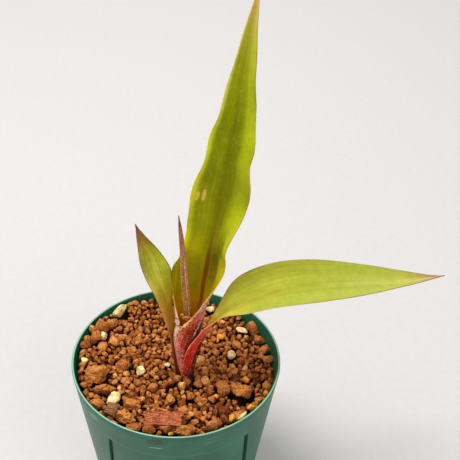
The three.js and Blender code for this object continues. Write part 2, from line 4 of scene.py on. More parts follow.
import bmesh
import bpy
import numpy as np
from mathutils import Matrix, Vector, noise


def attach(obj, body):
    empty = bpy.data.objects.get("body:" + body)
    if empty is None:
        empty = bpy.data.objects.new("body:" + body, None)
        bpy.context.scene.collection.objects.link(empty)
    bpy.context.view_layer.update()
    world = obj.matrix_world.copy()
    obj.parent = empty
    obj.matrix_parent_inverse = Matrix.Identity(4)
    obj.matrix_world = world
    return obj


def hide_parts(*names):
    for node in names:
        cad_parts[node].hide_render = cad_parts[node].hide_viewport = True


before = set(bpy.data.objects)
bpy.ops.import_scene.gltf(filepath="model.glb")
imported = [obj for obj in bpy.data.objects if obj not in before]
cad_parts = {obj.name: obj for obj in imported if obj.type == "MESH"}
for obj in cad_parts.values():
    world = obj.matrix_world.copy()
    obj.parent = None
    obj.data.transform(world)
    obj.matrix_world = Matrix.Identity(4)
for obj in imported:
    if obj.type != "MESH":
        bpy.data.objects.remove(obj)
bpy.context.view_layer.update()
scene = bpy.context.scene

# The pot: a small round nursery pot, injection-moulded in one thin shell of green polypropylene.
# A plain band runs round under the rim. Below it the front and back panels are a little sunk, with
# an upright slot at each end that opens into a drain slit at the foot.
MM = 0.001
POT_HEIGHT = 65.0
RIM_RADIUS = 37.45
FOOT_RADIUS = 28.7
POT_WALL = 1.2
RIM_WALL = 0.85
POT_FLOOR = 2.0
FOOT_ROUND = 0.8
FLOOR_ROUND = 0.8
FLOOR_RING = 9.0
BAND_EDGE = POT_HEIGHT - 11.6
PANEL_DEPTH = 0.55
PANEL_TURN = -84.5
PANEL_HALF = 41.3
SLOT_AT = 23.7
SLOT_WIDTH = 0.95
SLOT_DEPTH = 0.95
SLOT_SPAN = 2.1
STEP_SPAN = 0.12
SLIT_HEIGHT = 21.0
SLIT_REACH = 6.0
SLIT_SHARE = 0.95


def outer_radius(z):
    return FOOT_RADIUS + (RIM_RADIUS - FOOT_RADIUS) * z / POT_HEIGHT


def pot_profile():
    """Radius and height from the middle of the underside, up the outside and down the inside."""
    lip = RIM_WALL / 2
    ring = FOOT_RADIUS - FLOOR_RING
    rows = [2.0, 8.0, 15.0, 22.0, 30.0, 38.0, 46.0, 51.0, BAND_EDGE - 0.3, BAND_EDGE - 0.1,
            BAND_EDGE + 0.25, BAND_EDGE + 0.6, 58.5, 62.0]
    points = [(0.0, 0.0), (ring, 0.0), (FOOT_RADIUS - FOOT_ROUND, 0.0), (FOOT_RADIUS - 0.25, 0.22)]
    points += [(outer_radius(z), z) for z in rows]
    for step in range(7):
        angle = math.pi * step / 6
        radius = outer_radius(POT_HEIGHT) - lip + lip * math.cos(angle)
        points.append((radius, POT_HEIGHT - lip + lip * math.sin(angle)))
    points += [(outer_radius(z) - POT_WALL, z) for z in (60.0, 50.0, 38.0, 26.0, 14.0, 4.0)]
    points.append((outer_radius(3) - POT_WALL - FLOOR_ROUND, POT_FLOOR + 0.2))
    return points + [(ring, POT_FLOOR), (0.0, POT_FLOOR)]


def from_panel(angle):
    """The middle of the nearest panel, and how far an angle is from it, all in degrees."""
    offset = (angle - PANEL_TURN + 90) % 360 - 90
    middle = PANEL_TURN if offset < 90 else PANEL_TURN + 180
    return middle, (angle - middle + 180) % 360 - 180


def sunk_depth(offset):
    """How far the wall is sunk below the band, at an offset from the panel's middle."""
    if abs(abs(offset) - PANEL_HALF) < SLOT_SPAN / 2:
        return SLOT_DEPTH
    return PANEL_DEPTH if abs(offset) < PANEL_HALF else 0.0


def upright_offset(offset, z):
    """The offset that keeps the slots upright, so that they spread apart towards the narrow foot."""
    sides = [SLOT_AT - SLOT_WIDTH / 2, SLOT_AT + SLOT_WIDTH / 2]
    places = [0, *(math.degrees(math.asin(side / outer_radius(z))) for side in sides), 90]
    marks = [0, PANEL_HALF - SLOT_SPAN / 2, PANEL_HALF + SLOT_SPAN / 2, 90]
    return math.copysign(float(np.interp(abs(offset), marks, places)), offset)


def pot_bmesh():
    bm = bmesh.new()
    sunk = bm.verts.layers.float.new("sunk")
    turn = math.radians(PANEL_TURN - PANEL_HALF - SLOT_SPAN / 2 - STEP_SPAN / 2)
    points = [bm.verts.new((r * math.cos(turn), r * math.sin(turn), z)) for r, z in pot_profile()]
    last = points + [bm.edges.new(pair) for pair in zip(points, points[1:])]
    panel = PANEL_HALF * 2 - SLOT_SPAN - STEP_SPAN
    side = 180 - PANEL_HALF * 2 - SLOT_SPAN - STEP_SPAN
    slot = [(STEP_SPAN, 1), (SLOT_SPAN - STEP_SPAN, 3), (STEP_SPAN, 1)]
    for span, steps in (slot + [(panel, 40)] + slot + [(side, 46)]) * 2:
        last = bmesh.ops.spin(bm, geom=last, cent=(0, 0, 0), axis=(0, 0, 1), dvec=(0, 0, 0),
                              angle=math.radians(span), steps=steps)["geom_last"]
    bmesh.ops.remove_doubles(bm, verts=bm.verts, dist=0.01)
    for vert in bm.verts:
        radius = math.hypot(vert.co.x, vert.co.y)
        if vert.co.z > BAND_EDGE - 0.05 or radius < 0.01:
            continue
        middle, offset = from_panel(math.degrees(math.atan2(vert.co.y, vert.co.x)))
        outside = radius > outer_radius(vert.co.z) - POT_WALL / 2
        if outside and FOOT_ROUND < vert.co.z < BAND_EDGE - 0.2:
            radius -= sunk_depth(offset)
            # The sunk share also sets the painted shade in the slots.
            vert[sunk] = sunk_depth(offset) / SLOT_DEPTH
        angle = math.radians(middle + upright_offset(offset, vert.co.z))
        vert.co.xy = (radius * math.cos(angle), radius * math.sin(angle))
    bmesh.ops.recalc_face_normals(bm, faces=bm.faces)
    return bm


def slit_bmesh():
    bm = bmesh.new()
    size = (FOOT_RADIUS * 2, SLOT_WIDTH * SLIT_SHARE, SLIT_HEIGHT + 1)
    inner = math.sqrt(outer_radius(0) ** 2 - SLOT_AT ** 2) - SLIT_REACH
    for side in (-1, 1):
        for turn in (PANEL_TURN, PANEL_TURN + 180):
            middle = Matrix.Translation((inner + FOOT_RADIUS, side * SLOT_AT, (SLIT_HEIGHT - 1) / 2))
            spin = Matrix.Rotation(math.radians(turn), 4, "Z")
            bmesh.ops.create_cube(bm, size=1, matrix=spin @ middle @ Matrix.Diagonal((*size, 1)))
    return bm


def linear(colour):
    """An sRGB hex colour as linear red, green, blue and alpha."""
    channels = [int(colour[i:i + 2], 16) / 255 for i in (1, 3, 5)]
    return [c / 12.92 if c <= 0.04045 else ((c + 0.055) / 1.055) ** 2.4 for c in channels] + [1.0]


def add(material, kind, links=None, out=0, stops=None, **settings):
    """Adds one shader node and gives one of its outputs. links sets an input to a value, to a hex
    colour or to another node's output, and stops are a ramp's places, colours and strengths."""
    tree = material.node_tree
    node = tree.nodes.new("ShaderNode" + kind)
    for name, value in settings.items():
        setattr(node, name, value)
    for spot, value in (links or {}).items():
        if isinstance(value, bpy.types.NodeSocket):
            tree.links.new(value, node.inputs[spot])
        else:
            node.inputs[spot].default_value = linear(value) if isinstance(value, str) else value
    if stops:
        elements = node.color_ramp.elements
        while len(elements) < len(stops):
            elements.new(1.0)
        for element, (place, colour, *alpha) in zip(elements, stops):
            element.position = place
            element.color = linear(colour)[:3] + [alpha[0] if alpha else 1.0]
    return node.outputs[out] if node.outputs else None


def new_material(name):
    """A material with nothing in it but the place on the object in millimetres, so that the scale of
    a pattern is one over a real size."""
    material = bpy.data.materials.new(name)
    material.use_nodes = True
    material.node_tree.nodes.clear()
    place = add(material, "TexCoord", out="Object")
    return material, add(material, "Mapping", {"Vector": place, "Scale": (1 / MM, 1 / MM, 1 / MM)})


def tinge(material, colour, tone, value, reach, strength=(0.0, 1.0), **settings):
    """Mixes a tone into a colour by a value. Over the value's reach, the tone's share runs from the
    first strength to the second."""
    share = add(material, "MapRange", {"Value": value, "From Min": reach[0], "From Max": reach[1],
                                       "To Min": strength[0], "To Max": strength[1]}, **settings)
    return add(material, "Mix", {0: share, 6: colour, 7: tone}, out=2, data_type="RGBA")


def finish_skin(material, colour, relief, strength, depth, surface):
    """Ends a material: its colour and gloss over a relief whose depth is in millimetres."""
    bump = add(material, "Bump", {"Height": relief, "Strength": strength, "Distance": depth * MM})
    shader = add(material, "BsdfPrincipled", {"Base Color": colour, "Normal": bump, **surface})
    add(material, "OutputMaterial", {"Surface": shader})
    return material


def blotch(material, colour, place, at, size, tone, share, core):
    """Lays one soft oval mark over a colour. core is the part of its reach that is at full share."""
    offset = add(material, "VectorMath", {0: place, 1: at}, operation="SUBTRACT")
    offset = add(material, "VectorMath", {0: offset, 1: size}, operation="DIVIDE")
    away = add(material, "VectorMath", {0: offset}, out="Value", operation="LENGTH")
    return tinge(material, colour, tone, away, (core, 1.1), (share, 0.0))


# Moulded polypropylene: a waxy, slightly hazy surface that mirrors the pale table softly. Darker and
# paler marks of painted reflection and highlight cloud it, scuffs 3 mm long run round it, and a painted
# highlight runs along the thin lip and along the band's lower edge. Painted shade darkens the slots.
# The haze's grain is finer than can show, and is drawn 0.4 mm coarse. Each painted reflection mark is
# listed with its middle, its half-widths, its colour and its strength.
REFLECTION_WANDER = (3.0, 3.0, 1.6)
REFLECTION_MARKS = [
    ((-4.9, -36.9, 61.6), (3.8, 3.8, 1.8), "#053b28", 0.9),
    ((-4.6, -36.4, 58.3), (3.3, 3.3, 0.32), "#8fbcaa", 0.8),
    ((-26.5, -25.2, 60.2), (2.8, 2.8, 1.6), "#6a9c86", 0.6),
    ((-31.5, -19.0, 57.0), (2.3, 2.3, 2.6), "#5d977e", 0.55),
    ((14.0, -34.6, 59.4), (3.0, 3.0, 0.9), "#2f7f62", 0.5),
]


def polypropylene():
    material, place = new_material("moulded_green_polypropylene")
    height = add(material, "SeparateXYZ", {0: place}, out="Z")
    cloud = add(material, "TexNoise", {"Vector": place, "Scale": 1 / 11, "Detail": 3.0}, out="Fac")
    body = add(material, "ValToRGB", {"Fac": cloud}, stops=[(0.3, "#00543a"), (0.7, "#0a6a4b")])
    scuff_place = add(material, "Mapping", {"Vector": place, "Scale": (0.5, 0.5, 3.0)})
    scuffs = add(material, "TexNoise", {"Vector": scuff_place, "Scale": 0.6, "Detail": 6.0,
                                        "Roughness": 0.7}, out="Fac")
    body = tinge(material, body, "#4c9278", scuffs, (0.56, 0.78), (0.0, 0.3))
    wander = add(material, "TexNoise", {"Vector": place, "Scale": 1 / 3, "Detail": 3.0}, out="Color")
    wander = add(material, "VectorMath", {0: wander, 1: REFLECTION_WANDER, 2: place},
                 operation="MULTIPLY_ADD")
    # Darker and paler marks of painted reflection and highlight.
    for at, size, tone, share in REFLECTION_MARKS:
        middle = [a + w / 2 for a, w in zip(at, REFLECTION_WANDER)]
        body = blotch(material, body, wander, middle, size, tone, share, 0.6)
    # A painted highlight along the band's lower edge.
    band_highlight = add(material, "Math", {0: height, 1: BAND_EDGE + 0.15}, operation="SUBTRACT")
    band_highlight = add(material, "Math", {0: band_highlight}, operation="ABSOLUTE")
    body = tinge(material, body, "#7fb89d", band_highlight, (0.1, 0.35), (0.15, 0.0))
    # Painted shade in the slots, where the wall is sunk deepest.
    slot = add(material, "Attribute", out="Fac", attribute_name="sunk")
    body = tinge(material, body, "#002a1c", slot, (0.65, 0.95))
    # A painted highlight along the thin lip.
    body = tinge(material, body, "#7fb496", height, (POT_HEIGHT - 0.26, POT_HEIGHT - 0.04),
                 interpolation_type="SMOOTHSTEP")
    grain = add(material, "TexNoise", {"Vector": place, "Scale": 1 / 0.4, "Detail": 2.0}, out="Fac")
    rough = add(material, "MapRange", {"Value": scuffs, "To Min": 0.34, "To Max": 0.52})
    return finish_skin(material, body, grain, 0.25, 0.03,
                       {"Roughness": rough, "IOR": 1.49, "Specular IOR Level": 0.62})


def make_piece(name, bm, *materials):
    """Turns a bmesh made in millimetres into a piece at the origin."""
    bmesh.ops.scale(bm, vec=(MM, MM, MM), verts=bm.verts)
    mesh = bpy.data.meshes.new(name)
    bm.to_mesh(mesh)
    bm.free()
    mesh.shade_smooth()
    for material in materials:
        mesh.materials.append(material)
    piece = bpy.data.objects.new(name, mesh)
    scene.collection.objects.link(piece)
    return piece


def fit_piece(piece, node):
    """Fixes a finished piece to the object, in place of a plain solid, which is hidden."""
    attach(piece, "root")
    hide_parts(node)


def cut_away(piece, cutter):
    """Cuts the cutter's shape out of a piece for good."""
    cut = piece.modifiers.new("cut", "BOOLEAN")
    cut.object = cutter
    cut.solver = "EXACT"
    whole = piece.evaluated_get(bpy.context.evaluated_depsgraph_get())
    old = piece.data
    piece.data = bpy.data.meshes.new_from_object(whole)
    piece.modifiers.clear()
    bpy.data.meshes.remove(old)
    bpy.data.objects.remove(cutter)


pot = make_piece("nursery_pot", pot_bmesh(), polypropylene())
cut_away(pot, make_piece("drain_slits", slit_bmesh()))
pot.data.set_sharp_from_angle(angle=math.radians(35))
fit_piece(pot, "pot")

# The soil bed: a filling of small fired-clay granules. Under the grains that show lies one dark
# mass, a little clear of the pot's wall, with a well in it for the stem base.
GAP = 0.3
SOIL_LEVEL = 59.0
SOIL_SLOPE = (-0.07, 0.026)
HEAP = {"start": 23.0, "reach": 12.0, "height": 3.0, "curve": 1.5, "front": -16.0, "over": 10.0}
BED_DEPTH = 3.6
BED_LUMPS = 0.8
WELL = {"x": 3.1, "y": -3.1, "radius": 4.4, "floor": 46.0, "past": 5.0}
CLAY_SEED = 20407


def soil_level(x, y):
    """The soil lies aslant, and is heaped against the wall at the sides and behind."""
    outward = np.clip((np.hypot(x, y) - HEAP["start"]) / HEAP["reach"], 0, 1)
    behind = np.clip((y - HEAP["front"]) / HEAP["over"], 0, 1)
    plain = SOIL_LEVEL + SOIL_SLOPE[0] * x + SOIL_SLOPE[1] * y
    return plain + HEAP["height"] * outward ** HEAP["curve"] * behind


def bed_bmesh():
    bm = bmesh.new()
    low = POT_FLOOR + GAP
    high = SOIL_LEVEL - BED_DEPTH
    inner = [outer_radius(z) - POT_WALL - GAP for z in (low, high)]
    bmesh.ops.create_cone(bm, cap_ends=True, segments=96, radius1=inner[0] - 0.9, radius2=inner[1],
                          depth=high - low, matrix=Matrix.Translation((0, 0, (low + high) / 2)))
    top = [face for face in bm.faces if face.calc_center_median().z > high - 0.01]
    for inset in (1.2, 3.0, 6.0, 8.0):
        bmesh.ops.inset_region(bm, faces=top, thickness=inset)
    for vert in bm.verts:
        if vert.co.z > high - 0.01:
            lumps = noise.noise(vert.co * 0.3)
            vert.co.z = soil_level(vert.co.x, vert.co.y) - BED_DEPTH + lumps * BED_LUMPS
    return bm


def well_bmesh():
    bm = bmesh.new()
    depth = SOIL_LEVEL + WELL["past"] - WELL["floor"]
    middle = Matrix.Translation((WELL["x"], WELL["y"], WELL["floor"] + depth / 2))
    bmesh.ops.create_cone(bm, cap_ends=True, segments=48, radius1=WELL["radius"],
                          radius2=WELL["radius"], depth=depth, matrix=middle)
    return bm


# Fired clay granules: matt, with a crumbly pitted surface. Each grain has a tint of its own, pale
# orange-brown. Painted light makes the points that look up paler, painted shade makes the grains that
# lie deeper darker, and the pits hold painted shade, with paler dust and painted highlight between
# them. The real pits are a few tenths of a millimetre wide, and they are drawn at 0.75 mm so that
# they show.
def fired_clay():
    material, place = new_material("fired_clay_granules")
    tint = add(material, "Attribute", out="Fac", attribute_name="tint")
    patches = add(material, "TexNoise", {"Vector": place, "Scale": 1 / 1.5, "Detail": 5.0,
                                         "Roughness": 0.7}, out="Fac")
    tint = add(material, "Math", {0: patches, 1: 0.7, 2: tint}, operation="MULTIPLY_ADD")
    tint = add(material, "Math", {0: tint, 1: 0.35}, operation="SUBTRACT")
    colour = add(material, "ValToRGB", {"Fac": tint}, stops=[
        (0.0, "#250e04"), (0.18, "#5e2b12"), (0.4, "#a45923"), (0.6, "#c97837"), (0.8, "#e2954a"),
        (1.0, "#fdc078")])
    pits = add(material, "TexNoise", {"Vector": place, "Scale": 1 / 0.75, "Detail": 5.0,
                                      "Roughness": 0.75}, out="Fac")
    # Painted shade in the pits, and paler dust with painted highlight on the raised bits between them.
    colour = tinge(material, colour, "#3a1c0a", pits, (0.34, 0.47), (0.9, 0.0))
    colour = tinge(material, colour, "#e3b684", pits, (0.54, 0.72), (0.0, 0.55))
    return finish_skin(material, colour, pits, 1.0, 0.65, {"Roughness": 0.95, "Specular IOR Level": 0.15})


# The mass between the grains is the same clay in fine crumbs, painted nearly black as the shade
# between them.
def shade_dark_clay():
    material, place = new_material("shade_dark_clay_fines")
    crumbs = add(material, "TexNoise", {"Vector": place, "Scale": 1 / 0.8, "Detail": 5.0}, out="Fac")
    colour = add(material, "ValToRGB", {"Fac": crumbs}, stops=[(0.3, "#160902"), (0.7, "#341b0b")])
    return finish_skin(material, colour, crumbs, 1.0, 0.4, {"Roughness": 1.0, "Specular IOR Level": 0.1})


bed = make_piece("soil_mass", bed_bmesh(), shade_dark_clay())
cut_away(bed, make_piece("stem_well", well_bmesh()))
bed.data.set_sharp_from_angle(angle=math.radians(40))
fit_piece(bed, "soil_bed")

# Larger lumps of the same clay, which lie highest along the left and the front. Each is listed with
# its middle, its half-widths and its turn in degrees.
# Painted light makes the points of a grain that look up paler.
PAINTED_TOP_LIGHT = 0.16
TOP_LIGHT_FROM = 0.3
BREAK_REACH = (0.48, 0.78)
BREAK_SHARE = 0.92
# How many bumps go to a half-width and how high they are, at three sizes.
CRUMBLE = ((5.0, 0.4), (9.0, 0.3), (18.0, 0.16))
CRACK_WIDTH = 0.12
CRACK_DEPTH = 0.7
LUMP_SEED = 51
LUMPS = [
    ((-28.2, -6.5, 61.4), (5.2, 4.4, 3.0), (8, 6, 30)),
    ((-25.0, -12.6, 60.2), (4.4, 2.9, 2.4), (0, 8, 12)),
    ((-19.3, -0.8, 59.6), (3.6, 2.6, 2.2), (0, 0, -20)),
    ((-14.2, -18.6, 59.5), (4.0, 2.6, 2.3), (6, 0, -8)),
    ((-16.2, -24.8, 59.9), (3.9, 3.1, 2.4), (0, 5, -35)),
    ((4.9, -30.2, 59.7), (4.0, 2.3, 2.2), (0, 4, 4)),
    ((24.1, -10.0, 59.3), (4.5, 3.7, 2.7), (0, 6, -10)),
    ((30.0, -13.9, 58.7), (2.3, 2.1, 1.7), (0, 12, 40)),
    ((16.6, -9.6, 58.8), (2.3, 2.4, 2.0), (9, 0, 20)),
    ((-30.8, 9.5, 64.0), (3.0, 2.6, 2.2), (0, -12, 70)),
    ((-26.2, 17.6, 63.0), (3.4, 2.4, 2.0), (0, -8, 50)),
    ((-12.6, -28.6, 59.2), (3.2, 2.2, 1.9), (0, 0, 12)),
    ((23.0, -21.0, 58.2), (3.6, 3.0, 2.0), (0, 6, 40)),
    ((29.0, -16.0, 57.6), (3.2, 2.6, 2.0), (0, 8, 60)),
]


def turned(angles):
    """A turn about X, then Y, then Z, in degrees."""
    x, y, z = (Matrix.Rotation(math.radians(a), 4, axis) for a, axis in zip(angles, "XYZ"))
    return x @ y @ z


def add_lump(bm, at, size, turn, seed, detail, tint=0.5, rough=0.2, breaks=0):
    """Adds one lump to a bmesh, with a number of flat broken faces. One of fine detail is crumbled and
    cracked too. Its tint is stored on its points, with painted light that makes them paler where they look
    up."""
    lump = bmesh.new()
    tints = lump.verts.layers.float.new("tint")
    bmesh.ops.create_icosphere(lump, subdivisions=detail, radius=1.0)
    chance = random.Random(seed)
    offset = Vector([chance.uniform(-50, 50) for _ in range(3)])
    planes = [(Vector([chance.gauss(0, 1) for _ in range(3)]).normalized(), chance.uniform(*BREAK_REACH))
              for _ in range(breaks)]
    place = Matrix.Translation(at) @ turned(turn) @ Matrix.Diagonal((*size, 1))
    for vert in lump.verts:
        direction = vert.co.copy()
        bulge = noise.noise(direction * 1.3 + offset) + 0.5 * noise.noise(direction * 2.9 + offset)
        for facing, reach in planes:
            vert.co -= facing * (max(0, vert.co.dot(facing) - reach) * BREAK_SHARE)
        if detail > 3:
            for scale, share in CRUMBLE:
                bulge += share * noise.noise(direction * scale + offset)
            crack = max(0, CRACK_WIDTH - abs(noise.noise(direction * 2.2 - offset)))
            bulge -= CRACK_DEPTH * crack / CRACK_WIDTH
        vert.co *= 1 + rough * bulge
        upward = (place.to_3x3() @ direction).normalized().z
        vert[tints] = tint + PAINTED_TOP_LIGHT * (upward - TOP_LIGHT_FROM)
    bmesh.ops.transform(lump, matrix=place, verts=lump.verts)
    mesh = bpy.data.meshes.new("lump")
    lump.to_mesh(mesh)
    lump.free()
    bm.from_mesh(mesh)
    bpy.data.meshes.remove(mesh)


clay = fired_clay()
draw = random.Random(CLAY_SEED)
lump_mesh = bmesh.new()
for number, (at, size, turn) in enumerate(LUMPS):
    add_lump(lump_mesh, at, size, turn, number + LUMP_SEED, 5, tint=draw.uniform(0.5, 0.68),
             rough=0.33, breaks=9)
fit_piece(make_piece("clay_lumps", lump_mesh, clay), "soil_bed")

# Cream pumice stones and amber granules, loose on and in the bed. Pumice is a foam of volcanic glass,
# so it is matt and full of pores. Most real pores are too fine to show, and they are drawn about half
# a millimetre apart.
PUMICE = [
    ((-27.9, 11.5, 63.0), (1.9, 1.7, 1.5), (10, 0, 40)),
    ((-23.2, 23.4, 64.5), (4.0, 1.7, 1.8), (0, -48, 20)),
    ((-32.9, -2.0, 63.7), (1.3, 1.2, 1.1), (0, 20, 10)),
    ((-12.8, -2.8, 60.2), (2.3, 1.8, 1.5), (0, 0, 35)),
    ((-3.4, 0.6, 59.9), (1.2, 1.0, 1.0), (0, 0, 15)),
    ((-21.2, -17.4, 60.9), (2.9, 2.4, 2.0), (12, 0, 60)),
    ((19.8, 7.6, 59.2), (1.5, 2.0, 1.7), (20, 10, 0)),
    ((11.1, 29.6, 62.0), (1.6, 1.3, 1.3), (0, 0, 20)),
    ((23.4, 19.5, 60.8), (2.3, 1.2, 1.1), (0, 6, -18)),
    ((24.3, -22.2, 60.1), (2.2, 0.9, 0.9), (0, -8, 40)),
]
AMBER = [
    ((15.5, 17.2, 59.4), (1.5, 1.4, 1.3), (0, 0, 0)),
    ((25.4, -4.6, 59.4), (1.5, 1.3, 1.3), (0, 0, 30)),
    ((20.6, -23.6, 60.1), (1.3, 1.5, 1.4), (0, 0, -20)),
    ((27.2, -18.0, 59.9), (1.5, 1.3, 1.2), (0, 0, 60)),
    ((32.3, -11.7, 60.4), (1.0, 1.1, 1.1), (0, 0, 0)),
    ((14.8, -13.1, 59.4), (1.0, 0.9, 0.9), (0, 0, 0)),
]
STONE_SEED_STEP = 7


def porous_stone(name, pale, middle, deep, pore):
    """Foamed or sintered mineral: pale faces, deeper hollows and pores of a given size, darkened with painted
    shade.
    """
    material, place = new_material(name)
    cloud = add(material, "TexNoise", {"Vector": place, "Scale": 1 / 1.8, "Detail": 5.0}, out="Fac")
    colour = add(material, "ValToRGB", {"Fac": cloud}, stops=[(0.32, deep), (0.5, middle), (0.68, pale)])
    pores = add(material, "TexVoronoi", {"Vector": place, "Scale": 1 / pore}, out="Distance")
    # Painted shade in the pores.
    colour = tinge(material, colour, deep, pores, (0.12, 0.3), (0.7, 0.0))
    return finish_skin(material, colour, pores, 0.6, 0.25, {"Roughness": 0.85, "Specular IOR Level": 0.35})


pumice = porous_stone("cream_pumice", "#ffeebc", "#f4da98", "#c49a58", 0.55)
amber = porous_stone("amber_granule", "#fbb03c", "#ec951f", "#b8620f", 0.7)
for name, slot, stones, stone in (("pumice", "pumice_stone", PUMICE, pumice),
                                  ("amber", "amber_grain", AMBER, amber)):
    for number, (at, size, turn) in enumerate(stones, 1):
        stone_mesh = bmesh.new()
        seed = number * STONE_SEED_STEP + len(name)
        add_lump(stone_mesh, at, size, turn, seed, 4, rough=0.16, breaks=5)
        fit_piece(make_piece(f"{name}_stone_{number}", stone_mesh, stone), f"{name}_{number}")

# Granules: about a thousand broken grains of 2 to 5 mm that were poured in, finer at the back left.
# Some larger ones are listed by their place and radius. The others are each dropped where the surface
# is lowest, come to rest on what lies there and raise it.
PLACED = [
    (-28.7, 15.2, 63.7, 2.4), (-24.2, 10.0, 61.6, 2.3), (-27.8, 6.4, 62.1, 1.9), (-7.5, -28.7, 59.0, 2.7),
    (-2.1, -28.1, 58.8, 2.0), (14.6, -24.6, 57.8, 2.2), (18.2, -18.9, 57.6, 2.3), (18.3, -22.4, 57.6, 1.8),
    (17.5, -7.9, 58.1, 2.5), (11.0, -5.8, 58.6, 1.9), (7.9, -7.3, 59.0, 1.9), (-8.0, -10.3, 59.6, 2.0),
    (-26.2, -20.2, 60.4, 2.4), (0.9, -6.4, 60.4, 1.6), (4.0, -7.4, 60.3, 1.7), (-1.5, -8.6, 60.2, 1.5),
    (2.3, -9.4, 60.0, 1.5), (8.3, 4.7, 58.8, 1.8), (14.0, 9.4, 58.5, 1.8), (21.4, 13.6, 58.5, 1.9),
    (5.6, -13.0, 58.7, 1.7), (-0.9, -15.1, 58.9, 1.8), (13.4, -13.6, 58.2, 1.5), (10.2, -1.6, 58.9, 1.6),
    (-31.4, 13.2, 64.2, 1.9), (-33.4, 5.2, 63.9, 1.6), (-33.3, 8.4, 63.9, 1.6), (27.8, 20.0, 61.4, 2.2),
    (30.2, 15.2, 60.4, 1.9), (32.0, 10.8, 59.8, 1.7), (33.0, 6.2, 59.4, 1.6), (-34.0, 1.6, 63.6, 1.3),
]
CELL = 0.4
HALF_GRID = 38.4
FINE_SPOT = (-6.0, 12.0)
STEM_ROOM = ((3.5, -3.0, 2.6), (5.6, -4.2, 1.5), (0.9, -3.7, 0.9))
BLOCKED = POT_HEIGHT + 10
DROP_SPAN = 36.0
DROP_REACH = 34.8
TRIES_AT_ONCE = 30
SHAKES = 10
GIVE_UP = 250
RISE = 1.2
WALL_SHARE = 0.95
# Stones and grains nest in each other, so each raises the surface by less than its own radius.
STONE_NEST = 0.95
GRAIN_NEST = 0.9
GRAIN = {"least": 0.8, "most": 2.4, "fine": 1.02, "growth": 0.015, "spread": 0.3}
GRAIN_STRETCH = (0.85, 1.45)
DEPTH_SHADE = 0.2
COARSE = 1.3

axis = np.arange(-HALF_GRID, HALF_GRID + CELL / 2, CELL)
grid_x, grid_y = np.meshgrid(axis, axis, indexing="ij")
heights = soil_level(grid_x, grid_y) - BED_DEPTH


def cell_of(x, y):
    return tuple(round((value + HALF_GRID) / CELL) for value in (x, y))


def patch_of(x, y, radius):
    """The cells under a ball, and how high the ball stands over its middle at each."""
    reach = int(radius / CELL) + 1
    i, j = cell_of(x, y)
    patch = (slice(i - reach, i + reach + 1), slice(j - reach, j + reach + 1))
    apart = (grid_x[patch] - x) ** 2 + (grid_y[patch] - y) ** 2
    return patch, np.sqrt(np.maximum(radius ** 2 - apart, 0)), apart < radius ** 2


def raise_to(x, y, radius, middle):
    """Raises the surface to a ball whose middle is at a given height."""
    patch, cap, inside = patch_of(x, y, radius)
    heights[patch] = np.where(inside, np.maximum(heights[patch], middle + cap), heights[patch])


def resting_height(x, y, radius):
    """How high a ball's middle is when it comes to rest on the surface."""
    patch, cap, inside = patch_of(x, y, radius)
    return float(np.max(np.where(inside, heights[patch] + cap, -1)))


def block_ellipsoid(at, size, turn):
    """Raises the surface over a stone, as a few balls along its longest half-width."""
    ball = (size[1] + size[2]) / 2
    along = turned(turn) @ Vector((max(size[0] - ball, 0), 0, 0))
    for share in (-1, -0.5, 0, 0.5, 1):
        x, y, z = Vector(at) + along * share
        raise_to(x, y, ball * STONE_NEST, z)


def grain_radius(x, y):
    away = math.hypot(x - FINE_SPOT[0], y - FINE_SPOT[1])
    radius = (GRAIN["fine"] + GRAIN["growth"] * away) * math.exp(draw.gauss(0, GRAIN["spread"]))
    return min(GRAIN["most"], max(GRAIN["least"], radius))


for stone in LUMPS + PUMICE + AMBER:
    block_ellipsoid(*stone)
for x, y, z, radius in PLACED:
    raise_to(x, y, radius * GRAIN_NEST, z)
for x, y, radius in STEM_ROOM:
    patch, cap, inside = patch_of(x, y, radius)
    heights[patch] = np.where(inside, BLOCKED, heights[patch])

grains = []
failures = 0
while failures < GIVE_UP:
    best = None
    spots = []
    while len(spots) < TRIES_AT_ONCE:
        x, y = draw.uniform(-DROP_SPAN, DROP_SPAN), draw.uniform(-DROP_SPAN, DROP_SPAN)
        if math.hypot(x, y) < DROP_REACH:
            spots.append((soil_level(x, y) - heights[cell_of(x, y)], x, y))
    _, x, y = max(spots)
    radius = grain_radius(x, y)
    for _ in range(SHAKES):
        near_x, near_y = x + draw.uniform(-radius, radius), y + draw.uniform(-radius, radius)
        wall = outer_radius(SOIL_LEVEL) - POT_WALL - radius * WALL_SHARE
        if math.hypot(near_x, near_y) < wall:
            middle = resting_height(near_x, near_y, radius)
            over = middle + radius - soil_level(near_x, near_y)
            if best is None or over < best[0]:
                best = (over, near_x, near_y, middle)
    if best is None or best[0] > RISE:
        failures += 1
        continue
    failures = 0
    _, x, y, middle = best
    raise_to(x, y, radius * GRAIN_NEST, middle)
    grains.append((x, y, middle, radius))

fine_mesh, coarse_mesh = bmesh.new(), bmesh.new()
for number, (x, y, z, radius) in enumerate(grains + PLACED):
    size = [radius * draw.uniform(*GRAIN_STRETCH) for _ in range(3)]
    turn = [draw.uniform(0, 360) for _ in range(3)]
    # Painted shade: grains that lie deeper below the surface are darker.
    sunk = max(0, soil_level(x, y) - z)
    tint = min(0.9, max(0.1, draw.gauss(0.6, 0.14) - DEPTH_SHADE * sunk))
    add_lump(coarse_mesh if radius > COARSE else fine_mesh, (x, y, z), size, turn, number, 2,
             tint=tint, rough=0.38, breaks=9)
for name, grain_mesh in (("fine_granules", fine_mesh), ("coarse_granules", coarse_mesh)):
    piece = make_piece(name, grain_mesh, clay)
    piece.data.set_sharp_from_angle(angle=math.radians(26))
    fit_piece(piece, "soil_bed")

